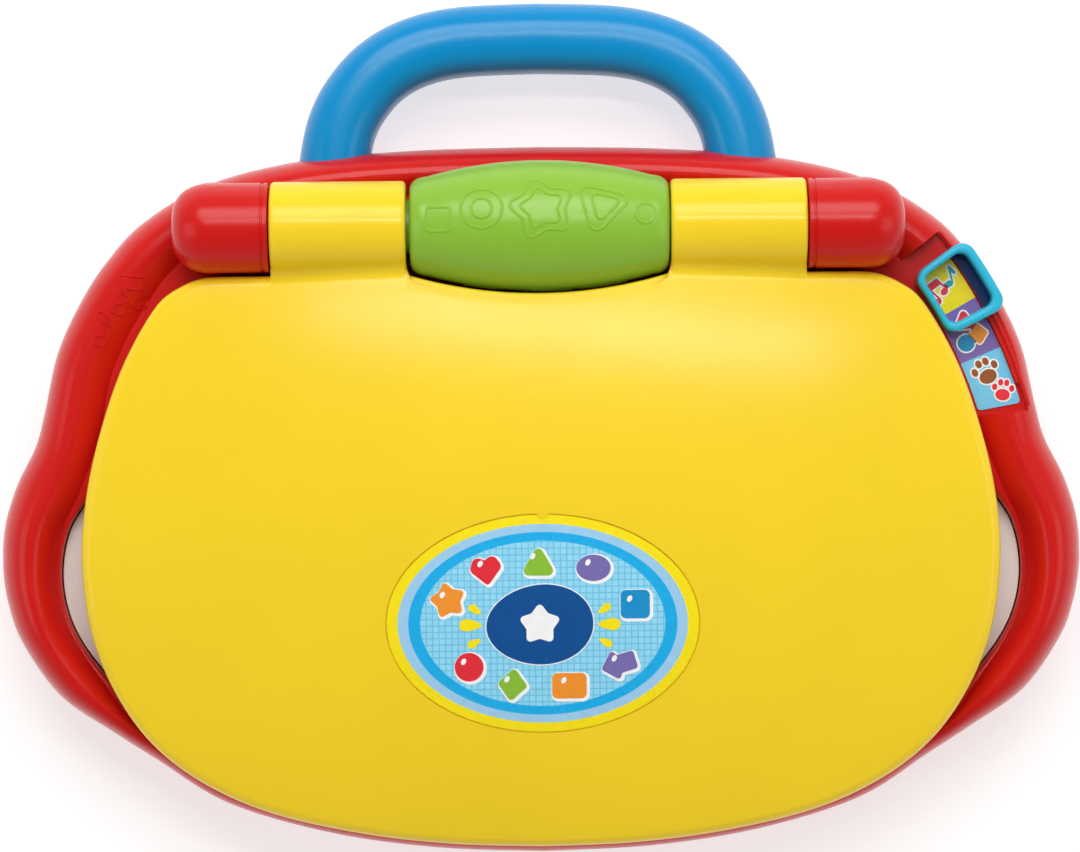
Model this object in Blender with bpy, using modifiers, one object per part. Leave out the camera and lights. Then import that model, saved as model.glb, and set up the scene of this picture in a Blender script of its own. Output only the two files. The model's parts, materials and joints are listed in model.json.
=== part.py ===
"""Toy laptop computer: a clamshell electronic toy that lies flat, with a carrying handle at its hinge side.

Frame: X runs across the toy, +Y points from the front edge to the hinge and handle, +Z is up.
The origin is under the middle of the whole toy, on the surface that it stands on.
All sizes below are in millimetres and MM turns them into Blender's metres.
"""

import math

import bmesh
import bpy
from mathutils import Vector

MM = 0.001
GAP = 0.3  # left between pieces that touch

# Heights
FOOT_HEIGHT = 1.7
BOTTOM = FOOT_HEIGHT + GAP  # underside of the lower shell
PARTING = 18.0  # top of the lower shell, bottom of the upper frame
DECK_TOP = 28.0
DECK_THICK = 2.0
RIM_FLOOR = 33.5  # frame surface under the hinge and under the lid's edge
LID_EDGE = 35.0
CROWN = 59.0  # highest point of the lid's dome
WALL = 2.2  # moulded wall thickness

# Hinge line: knuckles, bosses and roller share it
HINGE_Y = 55.0
HINGE_Z = 48.0
KNUCKLE_RADIUS = 12.5
KNUCKLE_BORE = 7.8
KNUCKLE_INNER = 36.2  # X where a knuckle starts
KNUCKLE_OUTER = 73.4
BOSS_RADIUS = 12.3
BOSS_INNER = KNUCKLE_OUTER + 0.4
BOSS_SHOULDER = 91.5  # X where the boss starts to round off
BOSS_END = 100.5
SPIGOT_RADIUS = 7.4
SPIGOT_BORE = 5.0
SPIGOT_TIP = 62.5

# Roller: a barrel between the knuckles, on two hollow collars
ROLLER_RADIUS = 18.1
ROLLER_HALF = 35.5
ROLLER_ARC = 114.7  # radius of the barrel's long profile
ROLLER_SHIFT = 0.35  # the roller sits a little nearer the right knuckle
COLLAR_RADIUS = 7.4
COLLAR_TIP = 42.5

# Mode slider: an arc track round TRACK_CENTRE on the right of the frame
TRACK_CENTRE = (2.7, -32.0)
LABEL_RADII = (123.8, 136.1)
LABEL_ANGLES = (16.9, 35.0)
CHANNEL_RADII = (123.2, 137.45)
CHANNEL_ANGLES = (16.3, 38.0)
CHANNEL_FLOOR = 33.2
BENCH_RADII = (137.0, 150.0)  # the frame's top is lower outside the channel too
BENCH_ANGLES = (15.4, 38.4)
BENCH_TOP = 34.6
SLIDER_ANGLE = 32.0
SLIDER_HALF_ANGLE = 4.7
SLIDER_RADII = (123.6, 141.3)
SLIDER_WINDOW = (126.1, 138.4)
SLIDER_WINDOW_HALF = 3.35
SLIDER_TOP = 42.2
SLOT_RADII = (136.15, CHANNEL_RADII[1])
SLIDER_DOWN = 10.8  # degrees from rest to the lowest mode
SLIDER_UP = 1.2

# Handle: a hollow arch in two halves
HANDLE_Z = 20.5
HANDLE_HALF_WIDTH = 9.8
HANDLE_HALF_DEPTH = 11.0

# Keyboard
KEY_TOP = 33.4
KEY_ROW_BACK = 17.5
KEY_ROW_FRONT = -15.5
MOUSE_Y = -63.0
MOUSE_TRAVEL = 18.0
VOLUME_CENTRE = (-72.0, -63.0)
VOLUME_TRAVEL = 4.0
SPEAKER_CENTRE = (108.0, -38.0)

# Screen in the lid
SCREEN_CENTRE_Y = -33.0
SCREEN_HALF = (72.0, 40.0)
PANEL_LOW = 36.0
PANEL_HIGH = 38.4

# Battery bay
BAY_CENTRE_Y = -74.0
BATTERY_RADIUS = 7.1
BATTERY_Z = 11.2

BASE_SCREWS = [(90, 26), (111, -67), (50, -96)]  # and their mirror images
LID_SCREWS = [(92, 18), (84, -84)]
FEET = [(102, 40), (78, -88)]
BADGE_CENTRE_Y = -53.8
BADGE_HALF = (42.6, 29.7)

# Right half of the body's outline, from the middle of the hinge side round to the middle of the front.
# Each row is one rib of the upper frame: the outer point, the inner point beside the keyboard deck, then
# the crest's distance from the outer edge and its height, and where and how high the inner slope ends.
RIBS = [
    ((0.0, 77.8), (0.0, 37.5), 7.0, 38.0, 13.0, RIM_FLOOR),
    ((34.0, 77.1), (28.0, 37.5), 7.0, 38.0, 13.0, RIM_FLOOR),
    ((66.0, 74.4), (56.0, 37.5), 7.0, 38.0, 13.0, RIM_FLOOR),
    ((92.0, 68.9), (80.0, 37.2), 7.5, 38.0, 14.0, RIM_FLOOR),
    ((110.0, 57.7), (95.0, 34.5), 8.5, 38.0, 16.0, RIM_FLOOR),
    ((120.6, 46.5), (103.0, 27.5), 8.5, 38.0, 17.0, RIM_FLOOR),
    ((127.9, 35.3), (107.6, 20.5), 8.5, 38.0, 17.0, RIM_FLOOR),
    ((134.3, 21.3), (112.7, 11.0), 8.5, 38.0, 17.0, RIM_FLOOR),
    ((138.0, 5.0), (116.8, 0.0), 8.5, 38.0, 17.0, RIM_FLOOR),
    ((140.6, -4.5), (119.8, -8.0), 9.0, 38.2, 17.0, RIM_FLOOR),
    ((145.8, -15.1), (125.5, -18.5), 9.5, 38.5, 18.0, RIM_FLOOR),
    ((149.3, -26.5), (131.0, -27.5), 9.0, 38.8, 16.8, 32.2),
    ((150.0, -38.0), (133.2, -38.5), 8.5, 38.8, 15.7, 31.8),
    ((148.4, -49.0), (132.0, -49.5), 8.5, 38.8, 15.2, 31.8),
    ((144.3, -59.9), (127.6, -59.6), 8.5, 38.6, 15.7, 32.2),
    ((134.0, -74.2), (119.0, -70.5), 7.5, 37.8, 13.5, RIM_FLOOR),
    ((119.0, -84.6), (109.0, -79.0), 4.5, 35.6, 6.8, 34.0),
    ((107.5, -92.0), (99.0, -86.5), 4.5, 34.5, 6.0, 34.2),
    ((88.0, -104.2), (81.0, -96.5), 4.5, 34.4, 6.0, 34.2),
    ((60.0, -112.7), (55.0, -104.5), 4.5, 34.4, 6.0, 34.2),
    ((30.0, -117.2), (28.0, -108.5), 4.5, 34.4, 6.0, 34.2),
    ((0.0, -118.5), (0.0, -109.5), 4.5, 34.4, 6.0, 34.2),
]
TRACK_RIBS = (4, 8)  # ribs between which the frame's top is thick enough for the mode track

# Right half of the lid's outline, after the arc round the roller and the straight hinge edge
LID_BACK = 41.7
LID_NOTCH = 36.3  # Y of the lid's edge in front of the roller's middle
LID_SIDE = [
    (84.0, LID_BACK),
    (92.5, 41.3),
    (99.6, 38.4),
    (105.0, 34.0),
    (111.4, 23.7),
    (116.4, 12.7),
    (121.0, -1.5),
    (124.2, -14.9),
    (126.0, -28.5),
    (126.0, -41.0),
    (123.6, -57.0),
    (117.5, -72.5),
    (107.7, -86.5),
    (93.8, -97.5),
    (75.0, -106.0),
    (50.0, -111.8),
    (25.0, -114.8),
    (0.0, -115.7),
]

# Centre line of the handle's right half, from inside the body to the middle of the arch
HANDLE_PATH = [
    (57.6, 65.0),
    (56.8, 74.0),
    (54.6, 84.0),
    (50.4, 92.0),
    (43.6, 99.4),
    (34.0, 104.7),
    (21.0, 107.5),
    (0.0, 108.3),
]

YELLOW = (244, 212, 46)
RED = (202, 30, 26)
BLUE = (10, 142, 202)
SKY = (70, 190, 224)
GREEN = (138, 188, 66)
WHITE = (236, 234, 230)
ORANGE = (244, 146, 40)
PURPLE = (126, 106, 182)
PINK_RED = (228, 44, 62)
GREY = (90, 92, 96)
STEEL = (190, 192, 196)
BOARD = (30, 104, 62)


# ---------------------------------------------------------------- scene, materials and objects


def clear_scene():
    for obj in list(bpy.data.objects):
        bpy.data.objects.remove(obj)


def make_collection(name):
    collection = bpy.data.collections.new(name)
    bpy.context.scene.collection.children.link(collection)
    return collection


def linear(channel):
    """One 0 to 255 screen colour channel as Blender's linear value."""
    share = channel / 255
    return share / 12.92 if share <= 0.04045 else ((share + 0.055) / 1.055) ** 2.4


def paint(obj, colour, roughness=0.35, metallic=0.0):
    material = bpy.data.materials.new(obj.name)
    material.use_nodes = True
    shader = material.node_tree.nodes["Principled BSDF"]
    shader.inputs["Base Color"].default_value = (*[linear(c) for c in colour], 1.0)
    shader.inputs["Roughness"].default_value = roughness
    shader.inputs["Metallic"].default_value = metallic
    obj.data.materials.clear()
    obj.data.materials.append(material)
    return obj


def add_object(name, data, collection):
    obj = bpy.data.objects.new(name, data)
    collection.objects.link(obj)
    return obj


def finish_mesh(name, mesh_builder, collection):
    """Turns a bmesh in millimetres into an object in metres, with its faces pointing out."""
    bmesh.ops.recalc_face_normals(mesh_builder, faces=mesh_builder.faces)
    bmesh.ops.scale(mesh_builder, vec=(MM, MM, MM), verts=mesh_builder.verts)
    mesh = bpy.data.meshes.new(name)
    mesh_builder.to_mesh(mesh)
    mesh_builder.free()
    mesh.shade_smooth()
    mesh.set_sharp_from_angle(angle=math.radians(35))
    return add_object(name, mesh, collection)


def hide_helper(obj):
    obj.hide_render = True
    obj.display_type = "WIRE"
    return obj


def combine(obj, operation, helpers):
    """Joins the helpers to obj, or cuts them from it, with one Boolean over a collection of them."""
    group = bpy.data.collections.new(f"{obj.name}_{operation.lower()}_{len(obj.modifiers)}")
    CUTTERS.children.link(group)
    for helper in helpers:
        for owner in list(helper.users_collection):
            owner.objects.unlink(helper)
        group.objects.link(hide_helper(helper))
    modifier = obj.modifiers.new(group.name, "BOOLEAN")
    modifier.operation = operation
    modifier.operand_type = "COLLECTION"
    modifier.collection = group
    return obj


def join(obj, *helpers):
    return combine(obj, "UNION", helpers)


def cut(obj, *helpers):
    return combine(obj, "DIFFERENCE", helpers)


# ---------------------------------------------------------------- outlines, as lists of (x, y)


def mirrored(points):
    """The closed outline of a right half that starts and ends on the axis."""
    return points + [(-x, y) for x, y in reversed(points[1:-1])]


def curve_through(points, steps):
    """A smooth open line through the points, each a tuple of any length."""
    ends = [points[0], *points, points[-1]]
    line = []
    for i in range(1, len(ends) - 2):
        before, start, end, after = ends[i - 1 : i + 3]
        for k in range(steps):
            t = k / steps
            line.append(
                tuple(
                    b
                    + 0.5 * (c - a) * t
                    + (a - 2.5 * b + 2 * c - 0.5 * d) * t * t
                    + 0.5 * (3 * b - a - 3 * c + d) * t**3
                    for a, b, c, d in zip(before, start, end, after)
                )
            )
    return line + [tuple(points[-1])]


def inset(outline, distance):
    """The outline moved inwards, or outwards if distance is negative."""
    area = sum(
        a[0] * b[1] - b[0] * a[1] for a, b in zip(outline, outline[1:] + outline[:1])
    )
    side = distance if area > 0 else -distance
    moved = []
    for i, point in enumerate(outline):
        here = Vector(point)
        into = (here - Vector(outline[i - 1])).normalized()
        out = (Vector(outline[(i + 1) % len(outline)]) - here).normalized()
        normal = Vector((-(into + out).y, (into + out).x)).normalized()
        reach = side / max(0.5, normal.dot(Vector((-into.y, into.x))))
        moved.append(tuple(here + normal * reach))
    return moved


def placed(outline, centre, turn=0.0):
    c, s = math.cos(math.radians(turn)), math.sin(math.radians(turn))
    return [(centre[0] + x * c - y * s, centre[1] + x * s + y * c) for x, y in outline]


def ellipse(half_x, half_y, count):
    return [
        (half_x * math.cos(2 * math.pi * i / count), half_y * math.sin(2 * math.pi * i / count))
        for i in range(count)
    ]


def rounded(corners, radius, steps=2):
    """A polygon with each corner turned into an arc; a corner is (x, y) or (x, y, its own radius)."""
    points = []
    for i, corner in enumerate(corners):
        here = Vector(corner[:2])
        size = corner[2] if len(corner) > 2 else radius
        into = (Vector(corners[i - 1][:2]) - here).normalized()
        out = (Vector(corners[(i + 1) % len(corners)][:2]) - here).normalized()
        half = into.angle(out) / 2
        start = here + into * size / math.tan(half)
        end = here + out * size / math.tan(half)
        middle = here + (into + out).normalized() * size / math.sin(half)
        first = math.atan2(*(start - middle).yx)
        sweep = math.atan2(*(end - middle).yx) - first
        sweep = (sweep + math.pi) % (2 * math.pi) - math.pi
        for k in range(steps + 1):
            angle = first + sweep * k / steps
            points.append((middle.x + size * math.cos(angle), middle.y + size * math.sin(angle)))
    return points


def rectangle(half_x, half_y, radius, steps=2):
    corners = [(half_x, half_y), (-half_x, half_y), (-half_x, -half_y), (half_x, -half_y)]
    return rounded(corners, radius, steps)


def sector(radii, angles, steps, centre=TRACK_CENTRE):
    """A stretch of a ring round a centre, with angles in degrees."""
    turns = [math.radians(angles[0] + (angles[1] - angles[0]) * k / steps) for k in range(steps + 1)]
    return placed(
        [(radii[1] * math.cos(a), radii[1] * math.sin(a)) for a in turns]
        + [(radii[0] * math.cos(a), radii[0] * math.sin(a)) for a in reversed(turns)],
        centre,
    )


def star(size):
    corners = []
    for k in range(10):
        reach = size if k % 2 == 0 else size * 0.62
        angle = math.radians(90 + 36 * k)
        corners.append((reach * math.cos(angle), reach * math.sin(angle)))
    return rounded(corners, 2.3)


def heart():
    right = [(12.0, 0.5, 4.5), (7.0, 11.0, 4.8)]
    left = [(-x, y, radius) for x, y, radius in reversed(right)]
    return rounded([(0, -12), *right, (0, 6.5), *left], 2.2)


def arrow(size):
    upper = [(0.1, 0.95), (0.1, 0.48), (-0.85, 0.48)]
    lower = [(x, -y) for x, y in reversed(upper)]
    return rounded([(size * x, size * y) for x, y in [(1.0, 0.0), *upper, *lower]], 2.1)


def body_ribs():
    """The frame's ribs right round the body, each as one flat row that ends with the rib's number."""
    half = [(*outer, *inner, *rest, float(i)) for i, (outer, inner, *rest) in enumerate(RIBS)]
    left = [(-r[0], r[1], -r[2], *r[3:8], -r[8]) for r in reversed(half[1:-1])]
    return half + left


def body_outline():
    return [(r[0], r[1]) for r in body_ribs()]


def deck_outline():
    return inset([(r[2], r[3]) for r in body_ribs()], 0.4)


def lid_outline():
    rise = LID_BACK - LID_NOTCH
    radius = (KNUCKLE_INNER**2 + rise**2) / (2 * rise)
    notch = [
        (x, LID_NOTCH + radius - math.sqrt(radius**2 - x * x))
        for x in [KNUCKLE_INNER * k / 4 for k in range(5)]
    ]
    return mirrored([*notch, (KNUCKLE_OUTER, LID_BACK), *LID_SIDE])


def lid_height(x, y):
    """Height of the lid's outer surface over a point of the plan."""
    along = (y + 20) / (61 if y > -20 else 93)
    return CROWN - (5 if y > -20 else 13.5) * along**2 - 10.5 * (x / 123) ** 2


# ---------------------------------------------------------------- solids


def lofted(name, rings, collection, wrap=False):
    """A solid through closed rings of (x, y, z); wrap joins the last to the first instead of capping both."""
    builder = bmesh.new()
    loops = [[builder.verts.new(point) for point in ring] for ring in rings]
    pairs = list(zip(loops, loops[1:])) + ([(loops[-1], loops[0])] if wrap else [])
    for low, high in pairs:
        for i in range(len(low)):
            j = (i + 1) % len(low)
            builder.faces.new((low[i], low[j], high[j], high[i]))
    if not wrap:
        builder.faces.new(loops[0])
        builder.faces.new(loops[-1])
    return finish_mesh(name, builder, collection)


def stacked(name, outline, levels, collection):
    """A solid through one outline at several heights; each level is (inset, z)."""
    rings = [[(x, y, z) for x, y in inset(outline, step)] for step, z in levels]
    return lofted(name, rings, collection)


def slab(name, outlines, low, high, collection):
    """A flat plate: the first outline is its edge and the others are holes."""
    curve = bpy.data.curves.new(name, "CURVE")
    curve.dimensions = "2D"
    curve.fill_mode = "BOTH"
    curve.extrude = (high - low) / 2 * MM
    for outline in outlines:
        spline = curve.splines.new("POLY")
        spline.points.add(len(outline) - 1)
        for point, (x, y) in zip(spline.points, outline):
            point.co = (x * MM, y * MM, 0, 1)
        spline.use_cyclic_u = True
    drawn = add_object(name + "_outline", curve, collection)
    drawn.location.z = (low + high) / 2 * MM
    return as_mesh(drawn, name, collection)


def as_mesh(drawn, name, collection):
    """A curve object as a welded mesh object in the same place."""
    bpy.context.view_layer.update()
    graph = bpy.context.evaluated_depsgraph_get()
    mesh = bpy.data.meshes.new_from_object(drawn.evaluated_get(graph))
    builder = bmesh.new()
    builder.from_mesh(mesh)
    bmesh.ops.remove_doubles(builder, verts=builder.verts, dist=0.00001)
    bmesh.ops.recalc_face_normals(builder, faces=builder.faces)
    builder.to_mesh(mesh)
    builder.free()
    obj = add_object(name, mesh, collection)
    obj.matrix_world = drawn.matrix_world
    bpy.data.objects.remove(drawn)
    return obj


def box(name, low, high, collection):
    builder = bmesh.new()
    bmesh.ops.create_cube(builder, size=1.0)
    size = [b - a for a, b in zip(low, high)]
    bmesh.ops.scale(builder, vec=size, verts=builder.verts)
    obj = finish_mesh(name, builder, collection)
    obj.location = [(a + b) / 2 * MM for a, b in zip(low, high)]
    return obj


def rod(name, radius, start, end, collection, sides=24):
    """A round bar between two points."""
    line = Vector(end) - Vector(start)
    builder = bmesh.new()
    bmesh.ops.create_cone(
        builder, cap_ends=True, segments=sides, radius1=radius, radius2=radius, depth=line.length
    )
    obj = finish_mesh(name, builder, collection)
    obj.location = (Vector(start) + Vector(end)) / 2 * MM
    obj.rotation_mode = "QUATERNION"
    obj.rotation_quaternion = line.to_track_quat("Z", "Y")
    return obj


def turned(name, profile, collection, sides=24, closed=False):
    """A turned solid from (radius, z) points that run down its outer side."""
    mesh = bpy.data.meshes.new(name)
    count = len(profile)
    edges = [(i, (i + 1) % count) for i in range(count if closed else count - 1)]
    mesh.from_pydata([(r * MM, 0, z * MM) for r, z in profile], edges, [])
    obj = add_object(name, mesh, collection)
    screw = obj.modifiers.new("turn", "SCREW")
    screw.steps = sides
    screw.render_steps = sides
    screw.use_merge_vertices = True
    screw.merge_threshold = 0.00001
    screw.use_smooth_shade = True
    return obj


def wire(name, points, radius, collection):
    """A cable or a spring along the points."""
    curve = bpy.data.curves.new(name, "CURVE")
    curve.dimensions = "3D"
    curve.bevel_depth = radius * MM
    curve.bevel_resolution = 2
    curve.use_fill_caps = True
    spline = curve.splines.new("POLY")
    spline.points.add(len(points) - 1)
    for point, place in zip(spline.points, points):
        point.co = (*[c * MM for c in place], 1)
    return add_object(name, curve, collection)


def both_sides(places):
    """Each (x, y) and its mirror image, with a name for the side."""
    sides = (("right", 1), ("left", -1))
    return [(side, (sign * x, y), i) for i, (x, y) in enumerate(places, 1) for side, sign in sides]


# ---------------------------------------------------------------- base


def handle_leg_cutters(name, low, high):
    """Holes for the handle's legs in the rear wall, with running room all round."""
    cutters = []
    for side in (-1, 1):
        outline = placed(
            rectangle(HANDLE_HALF_WIDTH + 0.9, HANDLE_HALF_DEPTH + GAP, 8.5, 4), (side * 56.4, HANDLE_Z)
        )
        rings = [[(x, y, z) for x, z in outline] for y in (62.0, 84.0)]
        cutter = lofted(f"{name}_leg_hole", rings, CUTTERS)
        keep = box(f"{name}_leg_range", (side * 57 - 20, 60, low), (side * 57 + 20, 86, high), CUTTERS)
        combine(cutter, "INTERSECT", [keep])
        cutters.append(cutter)
    return cutters


def lower_shell():
    outline = body_outline()
    shell = stacked(
        "base_lower_shell",
        outline,
        [(9.0, BOTTOM), (4.4, 3.2), (1.4, 6.8), (0.0, 12.5), (0.0, PARTING)],
        MODEL,
    )
    cavity = stacked(
        "lower_cavity",
        outline,
        [(10.0, 4.2), (6.2, 5.2), (3.5, 8.2), (WALL, 13.0), (WALL, PARTING + 3)],
        CUTTERS,
    )
    cut(shell, cavity)
    bay_low, bay_high = BAY_CENTRE_Y - 16, BAY_CENTRE_Y + 16
    seat = placed(rectangle(33.4, 22.4, 3), (0, BAY_CENTRE_Y - 3.4))
    solids = [
        box("bay_block", (-31.8, bay_low - 1.8, 3), (31.8, bay_high + 1.8, 20.4), CUTTERS),
        box("bay_flange", (-36, bay_low - 11, 3.1), (36, bay_high + 5, 6.2), CUTTERS),
        rod("cover_screw_post", 3.4, (0, bay_low - 5.5, 5), (0, bay_low - 5.5, 11), CUTTERS, 16),
    ]
    holes = [
        box("bay_room", (-30, bay_low, 0), (30, bay_high, 18.9), CUTTERS),
        stacked("cover_seat", seat, [(0, 0), (0, 4.2)], CUTTERS),
        rod("cover_screw_hole", 1.5, (0, bay_low - 5.5, 0), (0, bay_low - 5.5, 13), CUTTERS, 12),
    ]
    for side, (x, y), i in both_sides(BASE_SCREWS):
        solids.append(rod(f"screw_tube_{side}_{i}", 4.8, (x, y, 3), (x, y, 9.4), CUTTERS, 12))
        holes.append(rod(f"head_hole_{side}_{i}", 3.4, (x, y, 0), (x, y, 7.8), CUTTERS, 12))
        holes.append(rod(f"shank_hole_{side}_{i}", 1.7, (x, y, 7), (x, y, 12), CUTTERS, 8))
    for x in (-70, 70):
        for y in (-26, 12):
            solids.append(rod("board_post", 3.0, (x, y, 3.5), (x, y, 16.4), CUTTERS, 8))
    join(shell, *solids)
    cut(shell, *holes)
    cut(shell, *handle_leg_cutters("lower", 0, PARTING + 2))
    return paint(shell, RED)


def frame_section(rib):
    """One cross-section of the upper frame, as (distance in from the outer edge, height) points."""
    crest_in, crest, slope_in, slope, place = rib[4:9]
    width = math.dist(rib[0:2], rib[2:4])
    low = PARTING + GAP
    spring = 24.0
    on_track = TRACK_RIBS[0] <= place <= TRACK_RIBS[1]
    ceiling = 31.0 if on_track else crest - WALL
    outer = [(0.0, low)]
    outer += [
        (crest_in * (1 - math.cos(a)), spring + (crest - spring) * math.sin(a))
        for a in [math.radians(k) for k in (0, 22, 44, 67, 90)]
    ]
    for t in (0.33, 0.67, 1.0):
        ease = 1 - math.cos(t * math.pi / 2)
        outer.append((crest_in + (slope_in - crest_in) * t, crest + (slope - crest) * ease))
    outer += [(width - 0.8, slope), (width, slope - 0.8), (width, DECK_TOP - DECK_THICK - GAP)]
    ledge = DECK_TOP - DECK_THICK - GAP
    inner = [(width + 3.0, ledge), (width + 3.0, ledge - 2.0), (width - WALL, ledge - 2.0)]
    inner.append((width - WALL, min(slope, ceiling + WALL) - WALL))
    inner.append((min(slope_in, width - WALL - 0.6), min(slope, ceiling + WALL) - WALL))
    room = crest_in - WALL
    inner += [
        (WALL + room * (1 - math.cos(a)), spring + (ceiling - spring) * math.sin(a))
        for a in [math.radians(k) for k in (90, 60, 30, 0)]
    ]
    inner.append((WALL, low))
    return outer + inner


def upper_frame():
    rings = []
    for rib in body_ribs():
        outer, inner = Vector(rib[0:2]), Vector(rib[2:4])
        inward = (inner - outer).normalized()
        rings.append([(*(outer + inward * s), z) for s, z in frame_section(rib)])
    frame = lofted("base_upper_frame", rings, MODEL, wrap=True)

    solids, holes = [], []
    for side in (-1, 1):
        solids.append(hinge_boss("boss", side, BOSS_INNER, BOSS_END, BOSS_RADIUS, 32.4))
        tip, root = hinge_point(side * SPIGOT_TIP), hinge_point(side * 75)
        solids.append(rod("spigot", SPIGOT_RADIUS, tip, root, CUTTERS))
        room = hinge_boss("boss_room", side, BOSS_INNER + WALL, BOSS_END - WALL, BOSS_RADIUS - WALL, 22)
        holes.append(room)
        near, far = hinge_point(side * 60), hinge_point(side * 79)
        holes.append(rod("spigot_bore", SPIGOT_BORE, near, far, CUTTERS, 16))
    holes.append(rod("roller_room", ROLLER_RADIUS + 2.4, hinge_point(-36.9), hinge_point(36.9), CUTTERS, 28))
    channel = sector(CHANNEL_RADII, CHANNEL_ANGLES, 8)
    holes.append(stacked("mode_channel", channel, [(0, CHANNEL_FLOOR), (0, 46)], CUTTERS))
    bench = sector(BENCH_RADII, BENCH_ANGLES, 8)
    holes.append(stacked("mode_bench", bench, [(0, BENCH_TOP), (0, 46)], CUTTERS))
    slot_angles = (SLIDER_ANGLE - SLIDER_DOWN - 2.2, SLIDER_ANGLE + SLIDER_UP + 2.2)
    slot = sector(SLOT_RADII, slot_angles, 8)
    holes.append(stacked("mode_slot", slot, [(0, 22), (0, 35)], CUTTERS))
    join(frame, *solids)
    cut(frame, *holes)
    cut(frame, *handle_leg_cutters("upper", PARTING - 2, 34))
    return paint(frame, RED)


def hinge_point(x):
    return (x, HINGE_Y, HINGE_Z)


def hinge_boss(name, side, start, end, radius, foot):
    """A boss with a round top, upright sides down to its foot and a domed outer end."""
    shoulder = BOSS_SHOULDER
    stations = [(start, radius)]
    for k in range(5):
        angle = math.radians(19 * k)
        stations.append((shoulder + (end - shoulder) * math.sin(angle), radius * math.cos(angle)))
    rings = []
    for x, reach in stations:
        arch = [
            (side * x, HINGE_Y + reach * math.cos(a), HINGE_Z + reach * math.sin(a))
            for a in [math.pi * k / 10 for k in range(11)]
        ]
        rings.append([(side * x, HINGE_Y + reach, foot), *arch, (side * x, HINGE_Y - reach, foot)])
    return lofted(name, rings, CUTTERS)


def key_layout():
    """Name, outline, centre and colour of each key."""
    back = [(x, KEY_ROW_BACK) for x in (-72, -36, 0, 36, 72)]
    front = [(x, KEY_ROW_FRONT) for x in (-54, -18, 18, 54)]
    triangle = rounded([(0, 12.5), (-12.5, -9.5), (12.5, -9.5)], 3.5)
    shapes = [
        ("heart", heart(), PINK_RED),
        ("triangle", triangle, GREEN),
        ("star", star(13.5), ORANGE),
        ("oval", ellipse(13, 10, 16), PURPLE),
        ("square", rectangle(10.5, 10.5, 3), BLUE),
        ("circle", ellipse(11.5, 11.5, 16), PINK_RED),
        ("diamond", rounded([(0, 13.5), (-12, 0), (0, -13.5), (12, 0)], 3), GREEN),
        ("rectangle", rectangle(12.5, 9, 3), ORANGE),
        ("arrow", arrow(13.5), PURPLE),
    ]
    return [(name, outline, centre, colour) for (name, outline, colour), centre in zip(shapes, back + front)]


def stadium(half_length, radius):
    return rectangle(half_length, radius, radius * 0.98, 4)


def deck():
    mouse_slot = placed(stadium(MOUSE_TRAVEL + 3.2, 3.0), (0, MOUSE_Y))
    volume_slot = placed(rectangle(VOLUME_TRAVEL + 2.4, 1.8, 0.6), VOLUME_CENTRE)
    holes = [placed(inset(outline, -0.6), centre) for _, outline, centre, _ in key_layout()]
    holes += [mouse_slot, volume_slot]
    for reach in (4.0, 8.5, 13.0):
        for middle in (0, 180):
            holes.append(sector((reach - 0.9, reach + 0.9), (middle - 62, middle + 62), 5, SPEAKER_CENTRE))
    plate = slab("keyboard_deck", [deck_outline(), *holes], DECK_TOP - DECK_THICK, DECK_TOP, MODEL)
    posts, pilots = [], []
    for side, (x, y), i in both_sides(BASE_SCREWS):
        posts.append(rod(f"post_{side}_{i}", 3.6, (x, y, 9.7), (x, y, 27), CUTTERS, 10))
        pilots.append(rod(f"pilot_{side}_{i}", 1.7, (x, y, 8), (x, y, 22), CUTTERS, 8))
    join(plate, *posts)
    cut(plate, *pilots)
    return paint(plate, WHITE)


def keyboard_label():
    edge = rounded(
        [(93, 34), (-93, 34), (-100, 2), (-84, -34), (84, -34), (100, 2)], 9, 3
    )
    holes = [placed(inset(outline, -1.6), centre) for _, outline, centre, _ in key_layout()]
    low = DECK_TOP + GAP
    return paint(slab("keyboard_label", [edge, *holes], low, low + 0.3, MODEL), SKY, 0.3)


def keys():
    for name, outline, centre, colour in key_layout():
        under = DECK_TOP - DECK_THICK - GAP
        levels = [
            (-1.6, under - 3.3),
            (-1.6, under - 1.8),
            (0.0, under - 1.8),
            (0.0, KEY_TOP - 1.6),
            (0.6, KEY_TOP - 0.5),
            (1.8, KEY_TOP),
        ]
        key = stacked(f"key_{name}", outline, levels, MODEL)
        key.location = (centre[0] * MM, centre[1] * MM, 0)
        paint(key, colour, 0.3)


def mouse():
    outline = ellipse(16, 12.5, 20)
    body = stacked(
        "mouse",
        outline,
        [(1.0, 28.4), (0.0, 29.4), (0.4, 31.0), (2.0, 32.7), (5.0, 33.9), (8.5, 34.3)],
        MODEL,
    )
    body.location.y = MOUSE_Y * MM
    join(body, rod("mouse_stem", 2.5, (0, MOUSE_Y, 22.4), (0, MOUSE_Y, 30), CUTTERS, 12))
    paint(body, ORANGE, 0.3)
    outlines = [rectangle(13, 7, 2), ellipse(2.85, 2.85, 16)]
    carriage = slab("mouse_carriage", outlines, 23.0, 25.4, MODEL)
    carriage.location += Vector((0, MOUSE_Y * MM, 0))
    paint(carriage, WHITE, 0.4)


def volume_switch():
    x, y = VOLUME_CENTRE
    knob = stacked("volume_knob", rectangle(4.5, 3.4, 1), [(0, 28.4), (0, 30.6), (0.8, 31.4)], MODEL)
    knob.location = (x * MM, y * MM, 0)
    join(knob, box("volume_stem", (x - 1.7, y - 1.3, 24.6), (x + 1.7, y + 1.3, 29.5), CUTTERS))
    paint(knob, PURPLE, 0.35)
    body = box("volume_switch_body", (x - 9, y - 4, 19.4), (x + 9, y + 4, 24.2), MODEL)
    paint(body, GREY, 0.5)


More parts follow.
